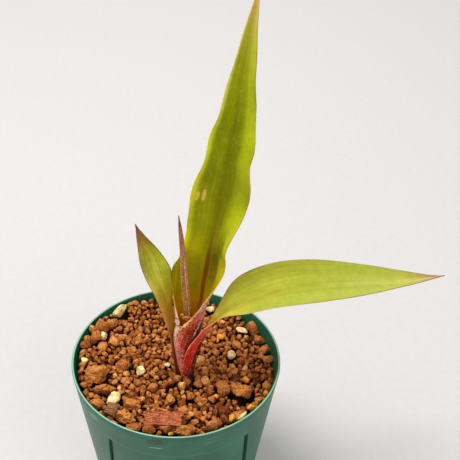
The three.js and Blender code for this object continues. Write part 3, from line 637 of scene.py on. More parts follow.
# A chip of red-brown bark lies on the grains in front, and a short ridged chunk stands to its left.
# Both are broken along the fibre, so their faces are grooved lengthwise and their ends are ragged.
BARK = {
    "bark_chip": {"at": (-2.8, -25.5, 60.6), "size": (12.2, 5.4, 1.6), "turn": (14, -4, -2)},
    "bark_chunk": {"at": (-20.8, -23.1, 61.4), "size": (3.4, 4.6, 2.8), "turn": (18, 8, -20)},
}
BARK_SEED_STEP = 9.7


def bark_bmesh(at, size, turn, seed):
    bm = bmesh.new()
    bmesh.ops.create_cube(bm, size=1.0)
    bmesh.ops.subdivide_edges(bm, edges=bm.edges, cuts=23, use_grid_fill=True)
    offset = Vector((seed, seed * 2.3, 0))
    for vert in bm.verts:
        x, y, z = (c * s for c, s in zip(vert.co, size))
        fibre = noise.noise(Vector((x * 0.16, y * 1.7, z * 1.7)) + offset)
        fine = noise.noise(Vector((x * 0.5, y * 4.0, z * 4.0)) + offset)
        ragged = noise.noise(Vector((0, y * 1.1, z * 1.6)) + offset)
        x += (2.0 * ragged * size[0] / 10 + 0.3 * fine) * (1 if x > 0 else -1) * (abs(vert.co.x) * 2) ** 6
        swell = 1 - 0.16 * (2 * vert.co.y) ** 4
        notched = 1 + 0.05 * fine + 0.22 * noise.noise(Vector((x * 0.45, 1 if y > 0 else -1, 0)) + offset)
        vert.co = Vector((x, y * notched, z * swell + 0.32 * fibre + 0.14 * fine))
    bmesh.ops.transform(bm, matrix=Matrix.Translation(at) @ turned(turn), verts=bm.verts)
    return bm


def fibrous_bark(name, pale, middle, deep, turn):
    """Bark: bundles of fibres, 3 mm long and half a millimetre wide, with dark gaps between them."""
    material, place = new_material(name)
    lengthwise = add(material, "Mapping", {
        "Vector": place, "Rotation": [math.radians(-a) for a in turn], "Scale": (0.25, 1.6, 1.6)})
    fibres = add(material, "TexNoise", {"Vector": lengthwise, "Scale": 1.4, "Detail": 6.0,
                                        "Roughness": 0.65}, out="Fac")
    colour = add(material, "ValToRGB", {"Fac": fibres}, stops=[
        (0.36, deep), (0.45, middle), (0.57, pale), (0.68, middle)])
    pits = add(material, "TexNoise", {"Vector": place, "Scale": 1 / 0.6, "Detail": 4.0}, out="Fac")
    # Painted shade in the pits.
    colour = tinge(material, colour, deep, pits, (0.34, 0.47), (0.85, 0.0))
    relief = add(material, "Math", {0: fibres, 1: pits}, operation="ADD")
    return finish_skin(material, colour, relief, 1.0, 0.35, {"Roughness": 0.8, "Specular IOR Level": 0.35})


for number, (name, spec) in enumerate(BARK.items()):
    red = name == "bark_chip"
    tones = ("#d2784a", "#9a4420", "#34140a") if red else ("#a8713f", "#83512b", "#3d2110")
    skin = fibrous_bark(("red_" if red else "brown_") + "bark_fibre", *tones, spec["turn"])
    piece = make_piece(name + "_fibres", bark_bmesh(seed=number * BARK_SEED_STEP, **spec), skin)
    fit_piece(piece, name)

# The leaves: living blades about half a millimetre thick, with a groove along the midrib and fine
# veins side by side. A leaf is given by stations from base to tip: the midrib's place, the way the
# upper face looks, the half-widths left and right of the rib, and the curl of the margins in degrees.
LEAF_TALL = {
    "closed": 3,
    "wave": (0.5, 17, 0.4),
    "stations": [
        ((4.5, -1.45, 57.6), (-0.54, -0.84, 0), 3.9, 5.5, 180),
        ((4.5, -0.25, 66.0), (-0.54, -0.84, 0), 6.9, 9.6, 180),
        ((5.32, 1.75, 74.5), (-0.54, -0.84, 0.1), 10.6, 14.6, 180),
        ((6.75, 3.35, 81.3), (-0.54, -0.84, 0.1), 14.1, 14.6, 180),
        ((7.6, 4.2, 86.5), (-0.6, -0.8, 0.1), 14.9, 12.2, 148),
        ((8.35, 4.8, 91.0), (-0.64, -0.77, 0.1), 13.0, 11.8, 116),
        ((9.15, 5.6, 97.0), (-0.6, -0.79, 0.1), 12.1, 12.1, 89),
        ((10.15, 6.4, 104.0), (-0.37, -0.92, 0.12), 12.7, 9.8, 69),
        ((10.6, 6.85, 107.7), (-0.35, -0.93, 0.13), 11.1, 9.1, 66),
        ((11.4, 7.5, 112.5), (-0.5, -0.85, 0.14), 9.2, 8.2, 52),
        ((13.0, 8.45, 120.0), (-0.36, -0.9, 0.15), 10.0, 8.7, 39),
        ((14.2, 9.6, 128.2), (-0.21, -0.95, 0.16), 10.3, 9.4, 31),
        ((15.3, 10.95, 135.5), (-0.23, -0.94, 0.18), 9.3, 10.9, 40),
        ((16.2, 12.4, 142.4), (-0.26, -0.94, 0.2), 7.9, 8.3, 41),
        ((17.2, 13.9, 148.8), (-0.24, -0.94, 0.22), 7.4, 9.1, 37),
        ((18.3, 15.6, 155.2), (-0.06, -0.96, 0.25), 6.4, 6.4, 25),
        ((19.65, 19.8, 168.6), (-0.1, -0.95, 0.3), 4.0, 4.6, 30),
        ((22.1, 25.2, 183.3), (-0.1, -0.93, 0.35), 2.2, 1.7, 26),
        ((24.05, 31.0, 196.4), (-0.1, -0.92, 0.38), 0.35, 0.35, 10),
    ],
}
LEAF_RIGHT = {
    "closed": -1,
    "wave": (0.3, 26, 1.2),
    "stations": [
        ((5.4, -4.35, 57.8), (-0.77, 0.64, 0.05), 2.5, 3.9, 50),
        ((6.1, -4.6, 68.5), (-0.77, 0.62, 0.15), 3.5, 3.8, 48),
        ((7.95, -5.2, 74.7), (-0.75, 0.57, 0.3), 2.9, 4.2, 62),
        ((9.9, -4.9, 80.9), (-0.84, 0.32, 0.4), 2.3, 2.7, 81),
        ((11.9, -4.5, 84.7), (-0.8, 0.0, 0.6), 1.7, 2.6, 75),
        ((15.35, -4.0, 89.1), (-0.61, 0.03, 0.8), 3.4, 1.7, 57),
        ((23.25, -2.6, 94.2), (-0.41, -0.2, 0.9), 9.4, 6.6, 40),
        ((34.1, -0.4, 98.6), (-0.12, -0.26, 0.95), 10.2, 8.5, 31),
        ((47.8, 1.9, 100.4), (0, -0.28, 0.95), 9.0, 8.3, 26),
        ((64.9, 4.6, 100.0), (0.02, -0.26, 0.95), 6.4, 5.9, 24),
        ((79.55, 7.2, 98.5), (0, -0.24, 0.95), 3.9, 1.8, 22),
        ((92.3, 9.6, 99.8), (0, -0.2, 0.96), 0.35, 0.35, 8),
    ],
}
LEAF_LEFT = {
    "closed": -1,
    "wave": (0.3, 15, 2.1),
    "stations": [
        ((0.5, -2.4, 57.8), (0.8, -0.6, 0), 1.2, 1.0, 40),
        ((-0.75, -0.7, 67.5), (0.85, -0.53, 0.05), 1.2, 1.2, 32),
        ((-1.78, 0.45, 75.2), (0.8, -0.6, 0.1), 1.2, 1.4, 32),
        ((-2.42, 1.05, 83.0), (0.6, -0.79, 0.15), 2.6, 2.1, 36),
        ((-2.98, 0.75, 89.9), (0.62, -0.78, 0.2), 4.1, 1.6, 22),
        ((-4.5, 0.4, 96.9), (0.5, -0.84, 0.2), 3.9, 3.5, 20),
        ((-6.95, 2.0, 102.7), (0.22, -0.95, 0.25), 4.2, 5.4, 26),
        ((-8.95, 3.7, 108.7), (0.4, -0.9, 0.3), 4.5, 3.4, 26),
        ((-11.9, 4.3, 114.7), (0.4, -0.9, 0.3), 1.6, 2.0, 20),
        ((-13.7, 5.1, 120.5), (0.4, -0.9, 0.35), 0.35, 0.35, 8),
    ],
}
BLADE = 0.55
MARGIN_SHARE = 0.45
MARGIN_CURVE = 0.7
OPEN_CURL = math.radians(172)
WAVY_HALF = 6.0
GROOVE = 0.28
GROOVE_WIDTH = 0.7
GROOVED_HALF = 4.0
TIP_TAPER = 0.7


def smooth_run(stations, place):
    """The value and the slope at a place along the stations, on one smooth curve through them."""
    i = min(int(place), len(stations) - 2)
    t = place - i
    a, b = stations[i], stations[i + 1]
    before = stations[i - 1] if i else 2 * a - b
    after = stations[i + 2] if i + 2 < len(stations) else 2 * b - a
    leave, arrive = (b - before) / 2, (after - a) / 2
    bend, twist = 3 * (b - a) - 2 * leave - arrive, 2 * (a - b) + leave + arrive
    value = a + leave * t + bend * t ** 2 + twist * t ** 3
    return value, leave + 2 * bend * t + 3 * twist * t ** 2


def leaf_bmesh(leaf, columns, rows):
    """A grid bent into the blade. Its face looks the way the leaf's upper face does, and its map has
    the share across the blade and the share of the stations along it."""
    stations = np.array([[*at, *facing, left, right, math.radians(curl)]
                         for at, facing, left, right, curl in leaf["stations"]])
    last = len(stations) - 1
    height, length, phase = leaf["wave"]
    bm = bmesh.new()
    bm.loops.layers.uv.new("leaf")
    weights = bm.verts.layers.deform.verify()
    bmesh.ops.create_grid(bm, x_segments=columns, y_segments=rows * last, size=1.0, calc_uvs=True)
    for vert in bm.verts:
        across, place = vert.co.x, (vert.co.y + 1) / 2 * last
        value, slope = smooth_run(stations, place)
        centre, tangent = Vector(value[:3]), Vector(slope[:3]).normalized()
        upward = Vector(value[3:6])
        upward = (upward - tangent * upward.dot(tangent)).normalized()
        sideways = tangent.cross(upward)
        left, right, turn = value[6:]
        closed = place <= leaf["closed"] + 1e-4
        if closed and across > 0.9999:
            across = -1.0
        curl = math.pi if closed else min(turn, OPEN_CURL)
        taper = 1 - TIP_TAPER * max(0, place - last + 1) ** 2
        radius = (left + right) / 2 / curl
        half = (left if across < 0 else right) * taper
        angle = across * half / radius
        normal = upward * math.cos(angle) - sideways * math.sin(angle)
        point = centre + sideways * (radius * math.sin(angle)) + upward * (radius * (1 - math.cos(angle)))
        if not closed:
            ripple = math.sin(2 * math.pi * centre.length / length + phase + across)
            point += normal * (height * min(1, left / WAVY_HALF) * abs(across) ** 3 * ripple)
            rib = math.exp(-((across * half / GROOVE_WIDTH) ** 2)) * min(1, half / GROOVED_HALF)
            point -= normal * (GROOVE * rib)
        vert.co = point
        vert[weights][0] = MARGIN_SHARE + (1 - MARGIN_SHARE) * (1 - abs(across)) ** MARGIN_CURVE
    bmesh.ops.remove_doubles(bm, verts=bm.verts, dist=0.0005)
    return bm


# Leaf tissue: a waxy skin with a soft sheen. Its colours run along and across the blade, broken by
# fine veins, and silvery scales dust it. Veins, scales and wine-red dots are a few tenths of a
# millimetre apart on a real leaf, and they are drawn at 0.7 to 0.85 mm so that they show.
VEIN_COUNT = 26.0
EDGE_SWAY = 0.12
SCAR_SWAY = (0.12, 0.03, 0.0)
SCALE_GAP = 0.7
FRECKLE_GAP = 0.85
DOT_RED = "#3c0a08"
SCALE_SILVER = "#e8cabb"


def leaf_skin(name, count, base, bands, streak=0.3, scales=(), marks=(), rough=0.42, freckles=0.0):
    """base is a row of (station, colour). Each band is its middle and half-width across from -1 to
    1, its softness, and a row of (station, colour, strength). scales are (station, share) stops, marks
    are scars by their place, size and colour, and freckles is how dark the wine-red dots are."""
    material, place = new_material(name)
    last = count - 1
    blade = add(material, "UVMap", uv_map="leaf")
    across = add(material, "SeparateXYZ", {0: blade}, out="X")
    along = across.node.outputs["Y"]
    drift = add(material, "VectorMath", {0: blade, 1: (5.0, 14.0, 0.0)}, operation="MULTIPLY")
    wander = add(material, "TexNoise", {"Vector": drift, "Scale": 1.0, "Detail": 2.0}, out="Fac")
    wander = add(material, "Math", {0: wander, 1: EDGE_SWAY, 2: -1 - EDGE_SWAY / 2}, operation="MULTIPLY_ADD")
    side = add(material, "Math", {0: across, 1: 2.0, 2: wander}, operation="MULTIPLY_ADD")
    colour = add(material, "ValToRGB", {"Fac": along},
                 stops=[(station / last, tone) for station, tone in base])
    for middle, width, soft, tones in bands:
        apart = add(material, "Math", {0: side, 1: middle}, operation="SUBTRACT")
        apart = add(material, "Math", {0: apart}, operation="ABSOLUTE")
        mask = add(material, "MapRange", {"Value": apart, "From Min": width, "From Max": width + soft,
                                          "To Min": 1.0, "To Max": 0.0},
                   interpolation_type="SMOOTHSTEP")
        ramp = add(material, "ValToRGB", {"Fac": along},
                   stops=[(station / last, tone, share) for station, tone, share in tones])
        mask = add(material, "Math", {0: mask, 1: ramp.node.outputs["Alpha"]}, operation="MULTIPLY")
        colour = add(material, "Mix", {0: mask, 6: colour, 7: ramp}, out=2, data_type="RGBA")
    lines = add(material, "VectorMath", {0: blade, 1: (VEIN_COUNT, 5.0, 0.0)}, operation="MULTIPLY")
    veins = add(material, "TexNoise", {"Vector": lines, "Scale": 1.0, "Detail": 3.0,
                                       "Roughness": 0.6}, out="Fac")
    value = add(material, "MapRange", {"Value": veins, "From Min": 0.3, "From Max": 0.7,
                                       "To Min": 1 - streak, "To Max": 1 + streak})
    colour = add(material, "HueSaturation", {"Color": colour, "Value": value})
    mottle = add(material, "TexNoise", {"Vector": place, "Scale": 1 / 2.2, "Detail": 4.0}, out="Fac")
    value = add(material, "MapRange", {"Value": mottle, "From Min": 0.3, "From Max": 0.7,
                                       "To Min": 0.93, "To Max": 1.07})
    colour = add(material, "HueSaturation", {"Color": colour, "Value": value})
    if marks:
        ragged = add(material, "TexNoise", {"Vector": place, "Scale": 1 / 0.9, "Detail": 3.0}, out="Color")
        flat = add(material, "CombineXYZ", {"X": side, "Y": along})
        flat = add(material, "VectorMath", {0: ragged, 1: SCAR_SWAY, 2: flat},
                   operation="MULTIPLY_ADD")
        flat = add(material, "VectorMath", {0: flat, 1: [sway / 2 for sway in SCAR_SWAY]},
                   operation="SUBTRACT")
    for across_at, station, size, tone in marks:
        colour = blotch(material, colour, flat, (across_at, station / last, 0), (*size, 1), tone, 0.9, 0.7)
    if freckles:
        dots = add(material, "TexVoronoi", {"Vector": place, "Scale": 1 / FRECKLE_GAP}, out="Distance")
        colour = tinge(material, colour, DOT_RED, dots, (0.24, 0.46), (freckles, 0.0))
    if scales:
        dots = add(material, "TexVoronoi", {"Vector": place, "Scale": 1 / SCALE_GAP}, out="Distance")
        dots = add(material, "MapRange", {"Value": dots, "From Min": 0.18, "From Max": 0.4,
                                          "To Min": 1.0, "To Max": 0.0})
        share = add(material, "ValToRGB", {"Fac": along}, out="Alpha",
                    stops=[(station / last, "#ffffff", amount) for station, amount in scales])
        patchy = add(material, "MapRange", {"Value": mottle, "From Min": 0.4, "From Max": 0.6})
        mask = add(material, "Math", {0: dots, 1: share}, operation="MULTIPLY")
        mask = add(material, "Math", {0: mask, 1: patchy}, operation="MULTIPLY")
        colour = add(material, "Mix", {0: mask, 6: colour, 7: SCALE_SILVER}, out=2, data_type="RGBA")
    return finish_skin(material, colour, veins, 0.35, 0.12,
                       {"Roughness": rough, "IOR": 1.42, "Specular IOR Level": 0.4,
                        "Specular Tint": (1.0, 0.9, 0.08, 1.0)})


def make_leaf(name, leaf, columns, rows, upper, under, margin):
    """Gives the blade its thickness, thinner at the margins, and its three skins."""
    piece = make_piece(name, leaf_bmesh(leaf, columns, rows), upper, under, margin)
    piece.vertex_groups.new(name="flesh")
    shell = piece.modifiers.new("flesh", "SOLIDIFY")
    shell.thickness = BLADE * MM
    shell.offset = 0
    shell.vertex_group = "flesh"
    shell.material_offset = 1
    shell.material_offset_rim = 2
    return piece


# The tall leaf is olive and yellow-green inside, with a red-brown midrib low down. Its sheath is
# rolled into a closed funnel that is pink and wine-red outside.
tall_count = len(LEAF_TALL["stations"])
tall_upper = leaf_skin(
    "tall_leaf_upper_skin", tall_count,
    base=[(3, "#cc8210"), (4.5, "#c69407"), (5.5, "#9b8802"), (6.5, "#948703"), (8, "#9f9602"),
          (10, "#9a9b04"), (12, "#7e8302"), (14, "#858d05"), (15, "#828802"), (16, "#8d930b"),
          (16.6, "#9a971f"), (17.1, "#a89c39"), (17.6, "#c39558"), (18, "#a36a49")],
    # The two sides of the golden throat, the paler right and left sides of the blade, painted shade in
    #     # the trough along its middle and in two patches right of that, the red-brown midrib and the right
    #     edge.
    bands=[
        (0.7, 0.3, 0.22, [(3, "#ffb414", 0.9), (4.2, "#e7a40f", 0.8), (5, "#ab8708", 0)]),
        (-0.75, 0.25, 0.3, [(3, "#ffcc18", 0.9), (4.4, "#e7ba0e", 0.85), (5, "#b8a207", 0.8),
            (6.5, "#b9a517", 0.8), (8, "#b2a404", 0.6), (9.5, "#b8ac04", 0)]),
        (1, 0.3, 0.5, [(5, "#a6900c", 0.5), (7, "#bbb014", 0.7), (8, "#b4b70b", 0.8), (9.5, "#b6bf16", 0.9),
            (12, "#9ca309", 0.9), (14, "#a6b00d", 0.9), (16, "#a7af1a", 0.8), (17.5, "#cfbf5f", 0.5)]),
        (-1, 0.06, 0.22, [(3, "#d2970c", 0.8), (6, "#cdc20b", 0.8), (9, "#e3df18", 0.7),
            (12, "#dcdc2e", 0.85), (14, "#d8e32e", 0.8), (17, "#e8de6c", 0.5)]),
        (0.05, 0.08, 0.35, [(7, "#6f5c02", 0), (9, "#746a03", 0.65), (11, "#6e6f01", 0.8),
            (13, "#686c01", 0.8), (15, "#6d7401", 0.8), (16.4, "#858906", 0.5), (17.2, "#a89c3b", 0)]),
        (0.52, 0.12, 0.15, [(8, "#6b6900", 0), (8.7, "#6d6b00", 0.9), (9.3, "#757700", 0.9),
            (10.1, "#878f00", 0)]),
        (0.32, 0.1, 0.2, [(5.4, "#705e02", 0), (6.4, "#695c01", 0.9), (8, "#5a5000", 0.95),
            (9.2, "#7d7402", 0.5), (10, "#848504", 0)]),
        (0.03, 0.055, 0.06, [(3, "#ce7d2d", 0.9), (4.5, "#904401", 0.95), (5.5, "#7f3d00", 0.95),
            (6.5, "#6d3501", 0.95), (8, "#6b4201", 0.9), (9.2, "#796203", 0.7), (11, "#716c02", 0.4),
            (15, "#6f7502", 0.4), (16.6, "#a19522", 0.4), (17.4, "#cea062", 0.7)]),
        (1, 0.03, 0.06, [(3.6, "#e3954e", 0.9), (6, "#cb9b4c", 0.8), (8, "#c9aa4c", 0.7),
            (11, "#b99a3c", 0.6), (14, "#b19243", 0.6), (17, "#8c7539", 0.7)]),
    ],
    streak=0.11, scales=[(3, 0.0), (7, 0.05), (17, 0.1)],
    marks=[(-0.78, 11.04, (0.075, 0.014), "#e6c054"), (-0.57, 11.1, (0.07, 0.02), "#e0bc50")])
tall_under = leaf_skin(
    "tall_leaf_under_skin", tall_count,
    base=[(0, "#d8372c"), (0.8, "#f64e3b"), (1.4, "#973323"), (2.2, "#88281a"), (3.2, "#973726"),
          (4.2, "#d37661"), (5.5, "#d8887b"), (6.5, "#c67a7a"), (7.4, "#b46266"), (15, "#a36374"),
          (18, "#c08a6e")],
    # The dark fold, the stripes from it to the overlapping edge, each paler, and a pale thread beside
    #     # it. Then the left flap with its thread, a painted highlight where the sheath turns away, and a
    #     # bright line along each edge.
    bands=[
        (0.66, 0.045, 0.04, [(1.2, "#ad3e2c", 0.6), (1.7, "#8d2c1d", 1), (3, "#902411", 1),
            (3.5, "#9f3723", 1), (4.3, "#d498a1", 0.8), (5.4, "#d7acbf", 0)]),
        (0.77, 0.055, 0.05, [(0.7, "#ff8a80", 0.9), (1.4, "#ff857a", 1), (1.9, "#d34631", 1),
            (2.4, "#9b2d1d", 1), (3.2, "#b3341d", 1), (4.4, "#e67e6e", 0.9), (6, "#c8a5b7", 0)]),
        (0.88, 0.045, 0.05, [(0.1, "#ffb39b", 0.7), (0.7, "#ffb3a1", 0.9), (1.1, "#ff8d89", 1),
            (1.9, "#ffa092", 1), (2.3, "#e65c40", 1), (3, "#c64e2d", 1), (4.5, "#e66447", 0.9),
            (5.5, "#f8bdb9", 0.8), (6.6, "#e3b6b9", 0)]),
        (0.98, 0.02, 0.05, [(0.2, "#ffaa92", 0.8), (1, "#ffb6a3", 0.95), (2, "#ffb29b", 0.95),
            (2.3, "#eaa883", 0.9), (2.8, "#ffa86f", 0.8), (5, "#fcb080", 0.8), (7, "#d3c3a1", 0.5)]),
        (0.6, 0.014, 0.022, [(2.3, "#e8c0c6", 0), (2.8, "#f3dce4", 0.9), (4.2, "#ecd5d8", 0.8),
            (5, "#f4c4c8", 0)]),
        (-0.93, 0.05, 0.04, [(0.2, "#ffa38d", 0.8), (2, "#ffb3a3", 0.9), (2.5, "#ffd5ca", 0.95),
            (3.5, "#ffd5c8", 0.95), (4.4, "#f3c0a3", 0.8), (5.4, "#d5c482", 0.4)]),
        (-0.855, 0.014, 0.025, [(0.6, "#ffb383", 0.5), (1.6, "#ffcea1", 0.9), (3.5, "#ffd8a8", 0.8),
            (4.4, "#ffd8b3", 0)]),
        (-1, 0.012, 0.02, [(1.6, "#ffcb9b", 0.8), (4, "#ffd5a5", 0.8), (4.8, "#e2c580", 0)]),
        (1, 0.012, 0.025, [(2.4, "#ffb37e", 0), (2.8, "#ffca87", 0.95), (5, "#ffd69d", 0.95),
            (7, "#d3c3a1", 0.6)]),
    ],
    streak=0.2, scales=[(0, 0.6), (2.2, 0.35), (3, 0.25), (7, 0.6), (18, 0.5)], rough=0.5, freckles=0.95)
tall_margin = leaf_skin(
    "tall_leaf_margin", tall_count,
    base=[(0, "#f1927b"), (3, "#ffbe86"), (5, "#fdb374"), (8, "#d5aa55"), (12, "#bea838"), (18, "#b9864e")],
    bands=[
        (-1, 0.3, 0.2, [(3.8, "#e0a84e", 0), (4.4, "#c5a41b", 0.95), (7, "#c5b81b", 0.95),
            (12, "#dcd538", 0.9), (17.5, "#dcca5a", 0.8)]),
    ],
    streak=0.05)
leaf_tall = make_leaf("tall_leaf", LEAF_TALL, 48, 9, tall_upper, tall_under, tall_margin)
fit_piece(leaf_tall, "leaf_tall")

# The right leaf arches out over the rim. Its blade is bright lime green, its stalk narrow and pinkish,
# and its sheath is crimson outside and clasps the tall leaf.
right_count = len(LEAF_RIGHT["stations"])
right_upper = leaf_skin(
    "right_leaf_upper_skin", right_count,
    base=[(0, "#a8462e"), (2.6, "#e1824e"), (4, "#ecbe52"), (4.9, "#ead648"), (5.6, "#bcbc3c"),
          (6.4, "#a2a432"), (7.5, "#9ba22e"), (9, "#9ba236"), (9.8, "#a5a940"), (10.3, "#a49542"),
          (10.6, "#a07a46"), (10.8, "#9c5240"), (11, "#682a32")],
    # The yellow foot of the blade's left side, the pale trough, the two sides, the midrib and the edges.
    bands=[
        (-0.5, 0.15, 0.25, [(5, "#e2d646", 0), (5.6, "#d6d648", 0.7), (6.3, "#b0b238", 0.6),
            (8, "#a2a836", 0.4), (9.4, "#a0a638", 0)]),
        (0, 0.12, 0.4, [(6, "#9e9632", 0.5), (7, "#9b9930", 0.4), (8, "#a2a73e", 0.4), (9, "#aaae4e", 0.7),
            (10, "#bcbb5a", 0.8), (10.6, "#c0aa76", 0.7)]),
        (-1, 0.05, 0.25, [(4.8, "#cebe3c", 0.6), (6, "#c8ba40", 0.7), (7, "#acac38", 0.5),
            (9, "#a0a63a", 0.4), (10.4, "#927444", 0.6)]),
        (0.75, 0.1, 0.3, [(5, "#d8b25c", 0.6), (5.6, "#aca448", 0.5), (6.4, "#96a238", 0.5),
            (8, "#a3a946", 0.5), (10, "#b4b75a", 0.4)]),
        (0.04, 0.02, 0.07, [(3.6, "#f0b464", 0.8), (5, "#e8ae54", 0.8), (6.2, "#a28c34", 0.6),
            (7.2, "#989430", 0.3), (9.2, "#b6ac56", 0.4), (10.6, "#be9262", 0.7)]),
        (-1, 0.012, 0.035, [(4, "#aa6842", 0.8), (6, "#966e3c", 0.8), (8, "#8c8238", 0.5),
            (9.4, "#8c6a3a", 0.7), (10.4, "#7c3c32", 0.9)]),
        (1, 0.012, 0.035, [(4, "#e2986c", 0.8), (5.4, "#ce9e64", 0.7), (8, "#969642", 0.4),
            (10.4, "#825038", 0.9)]),
    ],
    streak=0.09, scales=[(4, 0.0), (6, 0.08), (10, 0.1)])
right_under = leaf_skin(
    "right_leaf_under_skin", right_count,
    base=[(0, "#ac1115"), (0.8, "#e11c20"), (1.6, "#e62120"), (2.3, "#d62e26"), (3, "#da4a39"),
          (3.8, "#ed6c4f"), (4.6, "#e6744f"), (6, "#a13a3d"), (10, "#9a3739"), (11, "#7c2328")],
    # Painted shade on the left side and the foot of the sheath and in a groove, two lighter ribs and
    #     # the pink edge.
    bands=[
        (-0.45, 0.5, 0.14, [(0, "#420505", 1), (1.4, "#510806", 1), (2.2, "#630e0c", 1),
            (2.9, "#84201a", 0.9), (3.5, "#c6473a", 0.3), (4, "#dc5746", 0)]),
        (0.3, 0.22, 0.12, [(0, "#420505", 1), (0.45, "#490606", 0.95), (0.85, "#630b0a", 0)]),
        (0.75, 0.22, 0.1, [(0, "#420505", 1), (0.2, "#4d0606", 0.9), (0.5, "#84100f", 0)]),
        (0.2, 0.06, 0.08, [(1.6, "#630e0c", 0), (2.1, "#580b09", 0.8), (2.9, "#8f231d", 0.7),
            (3.5, "#c6473a", 0)]),
        (0.36, 0.03, 0.08, [(1.2, "#d1302c", 0.2), (2, "#e94240", 0.7), (3.2, "#eb5f50", 0.6),
            (4.4, "#e36f57", 0)]),
        (0.86, 0.04, 0.08, [(0.8, "#e3472c", 0.2), (1.4, "#d14223", 0.8), (2.8, "#c64227", 0.8),
            (4, "#e36f4b", 0)]),
        (1, 0.03, 0.07, [(0.1, "#eb6f50", 0.6), (1.2, "#ff7d58", 0.95), (3, "#ff875e", 0.95),
            (5, "#eb7f50", 0.7)]),
    ],
    streak=0.12, scales=[(0, 0.45), (1.6, 0.6), (3, 0.35), (5, 0.5), (10, 0.5)], rough=0.42, freckles=0.25)
right_margin = leaf_skin(
    "right_leaf_margin", right_count,
    base=[(0, "#e3846a"), (3, "#ffb78d"), (5, "#e3a56e"), (7, "#bdb74f"), (9.5, "#a58442"),
          (11, "#6a2c37")],
    bands=[], streak=0.05)
leaf_right = make_leaf("right_leaf", LEAF_RIGHT, 36, 9, right_upper, right_under, right_margin)
fit_piece(leaf_right, "leaf_right")

# The left leaf is the oldest and shortest. It is dull olive with a paler stripe along the middle,
# dark margins and a dry red-brown tip.
left_count = len(LEAF_LEFT["stations"])
left_upper = leaf_skin(
    "left_leaf_upper_skin", left_count,
    base=[(0, "#7f1211"), (0.6, "#861b14"), (1, "#bd4122"), (1.6, "#fc883a"), (2.4, "#ffad42"),
          (3, "#eead33"), (3.6, "#d0a02a"), (4.4, "#c1a023"), (5, "#b2a126"), (6, "#aaa933"),
          (7, "#a3a127"), (7.5, "#9e8f20"), (8, "#9b6e29"), (8.5, "#965b39"), (8.8, "#793522"),
          (9, "#581b19")],
    # The greener right side, the pale middle stripe, the straw-coloured left side and the dark edges.
    bands=[
        (0.5, 0.25, 0.25, [(4.6, "#aca118", 0.3), (5.4, "#9f9d1b", 0.7), (6.4, "#a2ac26", 0.8),
            (7.2, "#a6a919", 0.7), (8, "#896520", 0.4)]),
        (0.05, 0.08, 0.2, [(2, "#cf762b", 0.3), (3.4, "#bb8824", 0.4), (5, "#cab43a", 0.6),
            (6.4, "#c8c04b", 0.8), (7.4, "#c0ab41", 0.7), (8.2, "#a66e2f", 0.4)]),
        (-0.85, 0.1, 0.2, [(1, "#ca5f30", 0.3), (2, "#ffbf5f", 0.7), (3, "#fbc35d", 0.8),
            (4.4, "#dbaf45", 0.7), (6, "#bba958", 0.4), (8, "#b17f47", 0.3)]),
        (1, 0.03, 0.06, [(0.8, "#e47a4e", 0.5), (2, "#ffbc79", 0.6), (3.2, "#df9f46", 0.5),
            (5, "#78650d", 0.7), (7, "#5d4409", 0.9), (8.6, "#582613", 0.9)]),
        (-1, 0.015, 0.05, [(1, "#ffb177", 0.5), (3, "#ffdc95", 0.6), (5, "#b48b47", 0.6),
            (7, "#845d2b", 0.6), (8.4, "#5d3517", 0.8)]),
    ],
    streak=0.16, scales=[(1, 0.1), (3, 0.2), (5, 0.25), (8, 0.25)], rough=0.5)
left_under = leaf_skin(
    "left_leaf_under_skin", left_count,
    base=[(0, "#4d1218"), (1.5, "#6a2024"), (3, "#8a4434"), (5, "#7c4444"), (9, "#5a2428")],
    bands=[], streak=0.15, scales=[(0, 0.3), (8, 0.6)], rough=0.55)
left_margin = leaf_skin("left_leaf_margin", left_count,
                        base=[(0, "#5a1c1c"), (2.5, "#c08a68"), (5, "#6b4a24"), (9, "#45201a")],
                        bands=[], streak=0.05)
leaf_left = make_leaf("left_leaf", LEAF_LEFT, 28, 9, left_upper, left_under, left_margin)
fit_piece(leaf_left, "leaf_left")

# The spear is the youngest leaf, still rolled round itself in the mouth of the funnel. Only its wine-
# red underside shows, thick with silver scales, and its outer margin stands off as a seam.
SPEAR_PATH = [(3.5, -2.6, 61.6), (3.6, -2.0, 70), (4.3, -0.9, 79), (4.2, -0.7, 87), (3.5, -1.2, 96),
              (2.9, -1.6, 105), (2.4, -2.0, 114.5), (1.8, -2.5, 123), (1.1, -3.0, 130.8)]
SPEAR_RADII = [0.55, 0.95, 1.4, 1.6, 1.5, 1.3, 1.05, 0.8, 0.15]
SPEAR_SEAM = math.radians(-66)
SPEAR_WRAP = math.radians(430)
SPEAR_STEP = 0.22
SPEAR_BLADE = 0.22


def spear_bmesh(columns, rows):
    stations = np.array([[*at, radius] for at, radius in zip(SPEAR_PATH, SPEAR_RADII)])
    last = len(stations) - 1
    bm = bmesh.new()
    bm.loops.layers.uv.new("leaf")
    bmesh.ops.create_grid(bm, x_segments=columns, y_segments=rows * last, size=1.0, calc_uvs=True)
    for vert in bm.verts:
        share, place = (vert.co.x + 1) / 2, (vert.co.y + 1) / 2 * last
        x, y, z, radius = smooth_run(stations, place)[0]
        angle = SPEAR_SEAM - SPEAR_WRAP * (1 - share)
        radius *= 1 - SPEAR_STEP * (1 - share)
        vert.co = (x + radius * math.cos(angle), y + radius * math.sin(angle), z)
    return bm


spear_count = len(SPEAR_PATH)
